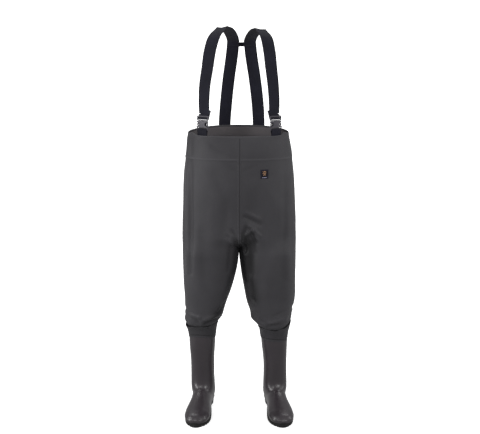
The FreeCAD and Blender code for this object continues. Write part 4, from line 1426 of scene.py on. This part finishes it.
def motifThread(name, line, width, finish):
    # a raised sewn line on the label; line is in mm from the label's middle
    line = np.array(line, float)
    rows = []
    for i in range(len(line)):
        tangent = line[min(i + 1, len(line) - 1)] - line[max(i - 1, 0)]
        tangent /= np.linalg.norm(tangent)
        sideways = np.array([-tangent[1], tangent[0]])
        taper = math.sin(math.pi * (i + 0.7) / (len(line) + 0.4)) ** 0.4
        row = []
        for u, rise in ((-1, 0.0), (-0.7, 0.45), (0, 0.6), (0.7, 0.45), (1, 0.0)):
            spot = line[i] + sideways * u * width / 2 * taper
            px, pz = labelCut["x"] + spot[0], labelCut["height"] + spot[1]
            row.append((px, trunkDepth(px, pz, -1) - labelCut["lift"] - rise - 0.05, pz))
        rows.append(row)
    piece = gridPiece(name, np.array(rows))
    work = bmesh.new()
    work.from_mesh(piece.data)
    for face in work.faces:
        if face.normal.y > 0:
            face.normal_flip()
    work.to_mesh(piece.data)
    work.free()
    finishWith(piece, finish)
    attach(piece, "trunk")


def makeMotif():
    for i in range(labelCut["waves"]):
        half = labelCut["waveHalf"]
        level = labelCut["waveTop"] - labelCut["waveStep"] * i
        wave = [(x, level + labelCut["waveHigh"] * math.sin(x / half * 1.6 * math.pi + 0.6))
                for x in np.linspace(i - half, half - i, 25)]
        motifThread("labelWave" + str(i), wave, labelCut["waveWidth"], tanThread)
    bar = [(x, labelCut["barHeight"]) for x in np.linspace(-labelCut["barHalf"], labelCut["barHalf"], 9)]
    motifThread("labelBar", bar, labelCut["barWidth"], paleThread)


for side in sides:
    makeBackAnchor(side)
makeLabel()
makeMotif()
print("patches done")


# floor, light, camera

floorLook = {"colour": "f2f2f2", "glow": 0.55, "skyStrength": 0.5, "depthBehind": 3.2, "front": -7.0,
             "wide": 9.0, "turn": 1.6, "high": 5.0}
profile = [(floorLook["front"], 0.0), (floorLook["depthBehind"], 0.0)]
for i in range(1, 13):
    a = math.radians(90 * i / 12)
    profile.append((floorLook["depthBehind"] + floorLook["turn"] * math.sin(a),
                    floorLook["turn"] * (1 - math.cos(a))))
profile.append((floorLook["depthBehind"] + floorLook["turn"], floorLook["high"]))
sweep = bpy.data.meshes.new("studioSweep")
verts = [(x, y, groundZ + z) for y, z in profile for x in (-floorLook["wide"], floorLook["wide"])]
sweep.from_pydata(verts, [], [(2 * i, 2 * i + 1, 2 * i + 3, 2 * i + 2) for i in range(len(profile) - 1)])
sweep.shade_smooth()
floor = addObject("studioSweep", sweep)
paper, tree, shader = newFinish("studioPaper", Roughness=0.9)
shader.inputs["Base Color"].default_value = hexColour(floorLook["colour"])
shader.inputs["Emission Color"].default_value = (1, 1, 1, 1)
shader.inputs["Emission Strength"].default_value = floorLook["glow"]
finishWith(floor, paper)
floor.visible_diffuse = False  # the floor throws no glow up onto the cloth
floor.visible_glossy = False

world = bpy.data.worlds.new("studioWorld")
bpy.context.scene.world = world
world.use_nodes = True
world.node_tree.nodes["Background"].inputs["Color"].default_value = (1, 1, 1, 1)
world.node_tree.nodes["Background"].inputs["Strength"].default_value = floorLook["skyStrength"]
bpy.context.scene.view_settings.view_transform = "Standard"


# each soft box: where it stands, where it points, its width and height, its power
softBoxes = {
    "keyBox": ((-1.7, -3.2, 1.5), (0, 0, -0.8), 1.3, 1.3, 31),
    "fillBox": ((2.0, -3.2, 0.9), (0, 0, -0.8), 1.2, 1.8, 56),
    "leftStrip": ((-2.3, -0.9, -0.4), (0, 0, -0.7), 0.4, 2.4, 40),
    "rightStrip": ((2.4, -0.2, -0.4), (0, 0, -0.7), 0.3, 2.2, 13),
    "backdropBox": ((0, 1.2, 2.2), (0, 4.5, -0.6), 5.0, 1.5, 160),
}


def placeSoftBox(name, spot, target, wide, tall, power):
    data = bpy.data.lights.new(name, "AREA")
    data.shape = "RECTANGLE"
    data.size = wide
    data.size_y = tall
    data.energy = power
    lamp = addObject(name, data)
    lamp.location = spot
    lamp.rotation_euler = (Vector(target) - Vector(spot)).to_track_quat("-Z", "Y").to_euler()


for name, settings in softBoxes.items():
    placeSoftBox(name, *settings)

cameraLook = {"spot": (0.0034, -3.5, -0.055), "pitch": -12.0, "lens": 62.0, "sensor": 36}
camera = addObject("camera", bpy.data.cameras.new("camera"))
camera.data.sensor_width = cameraLook["sensor"]
camera.data.lens = cameraLook["lens"]
camera.location = cameraLook["spot"]
camera.rotation_euler = (math.radians(90 + cameraLook["pitch"]), 0, 0)
bpy.context.scene.camera = camera
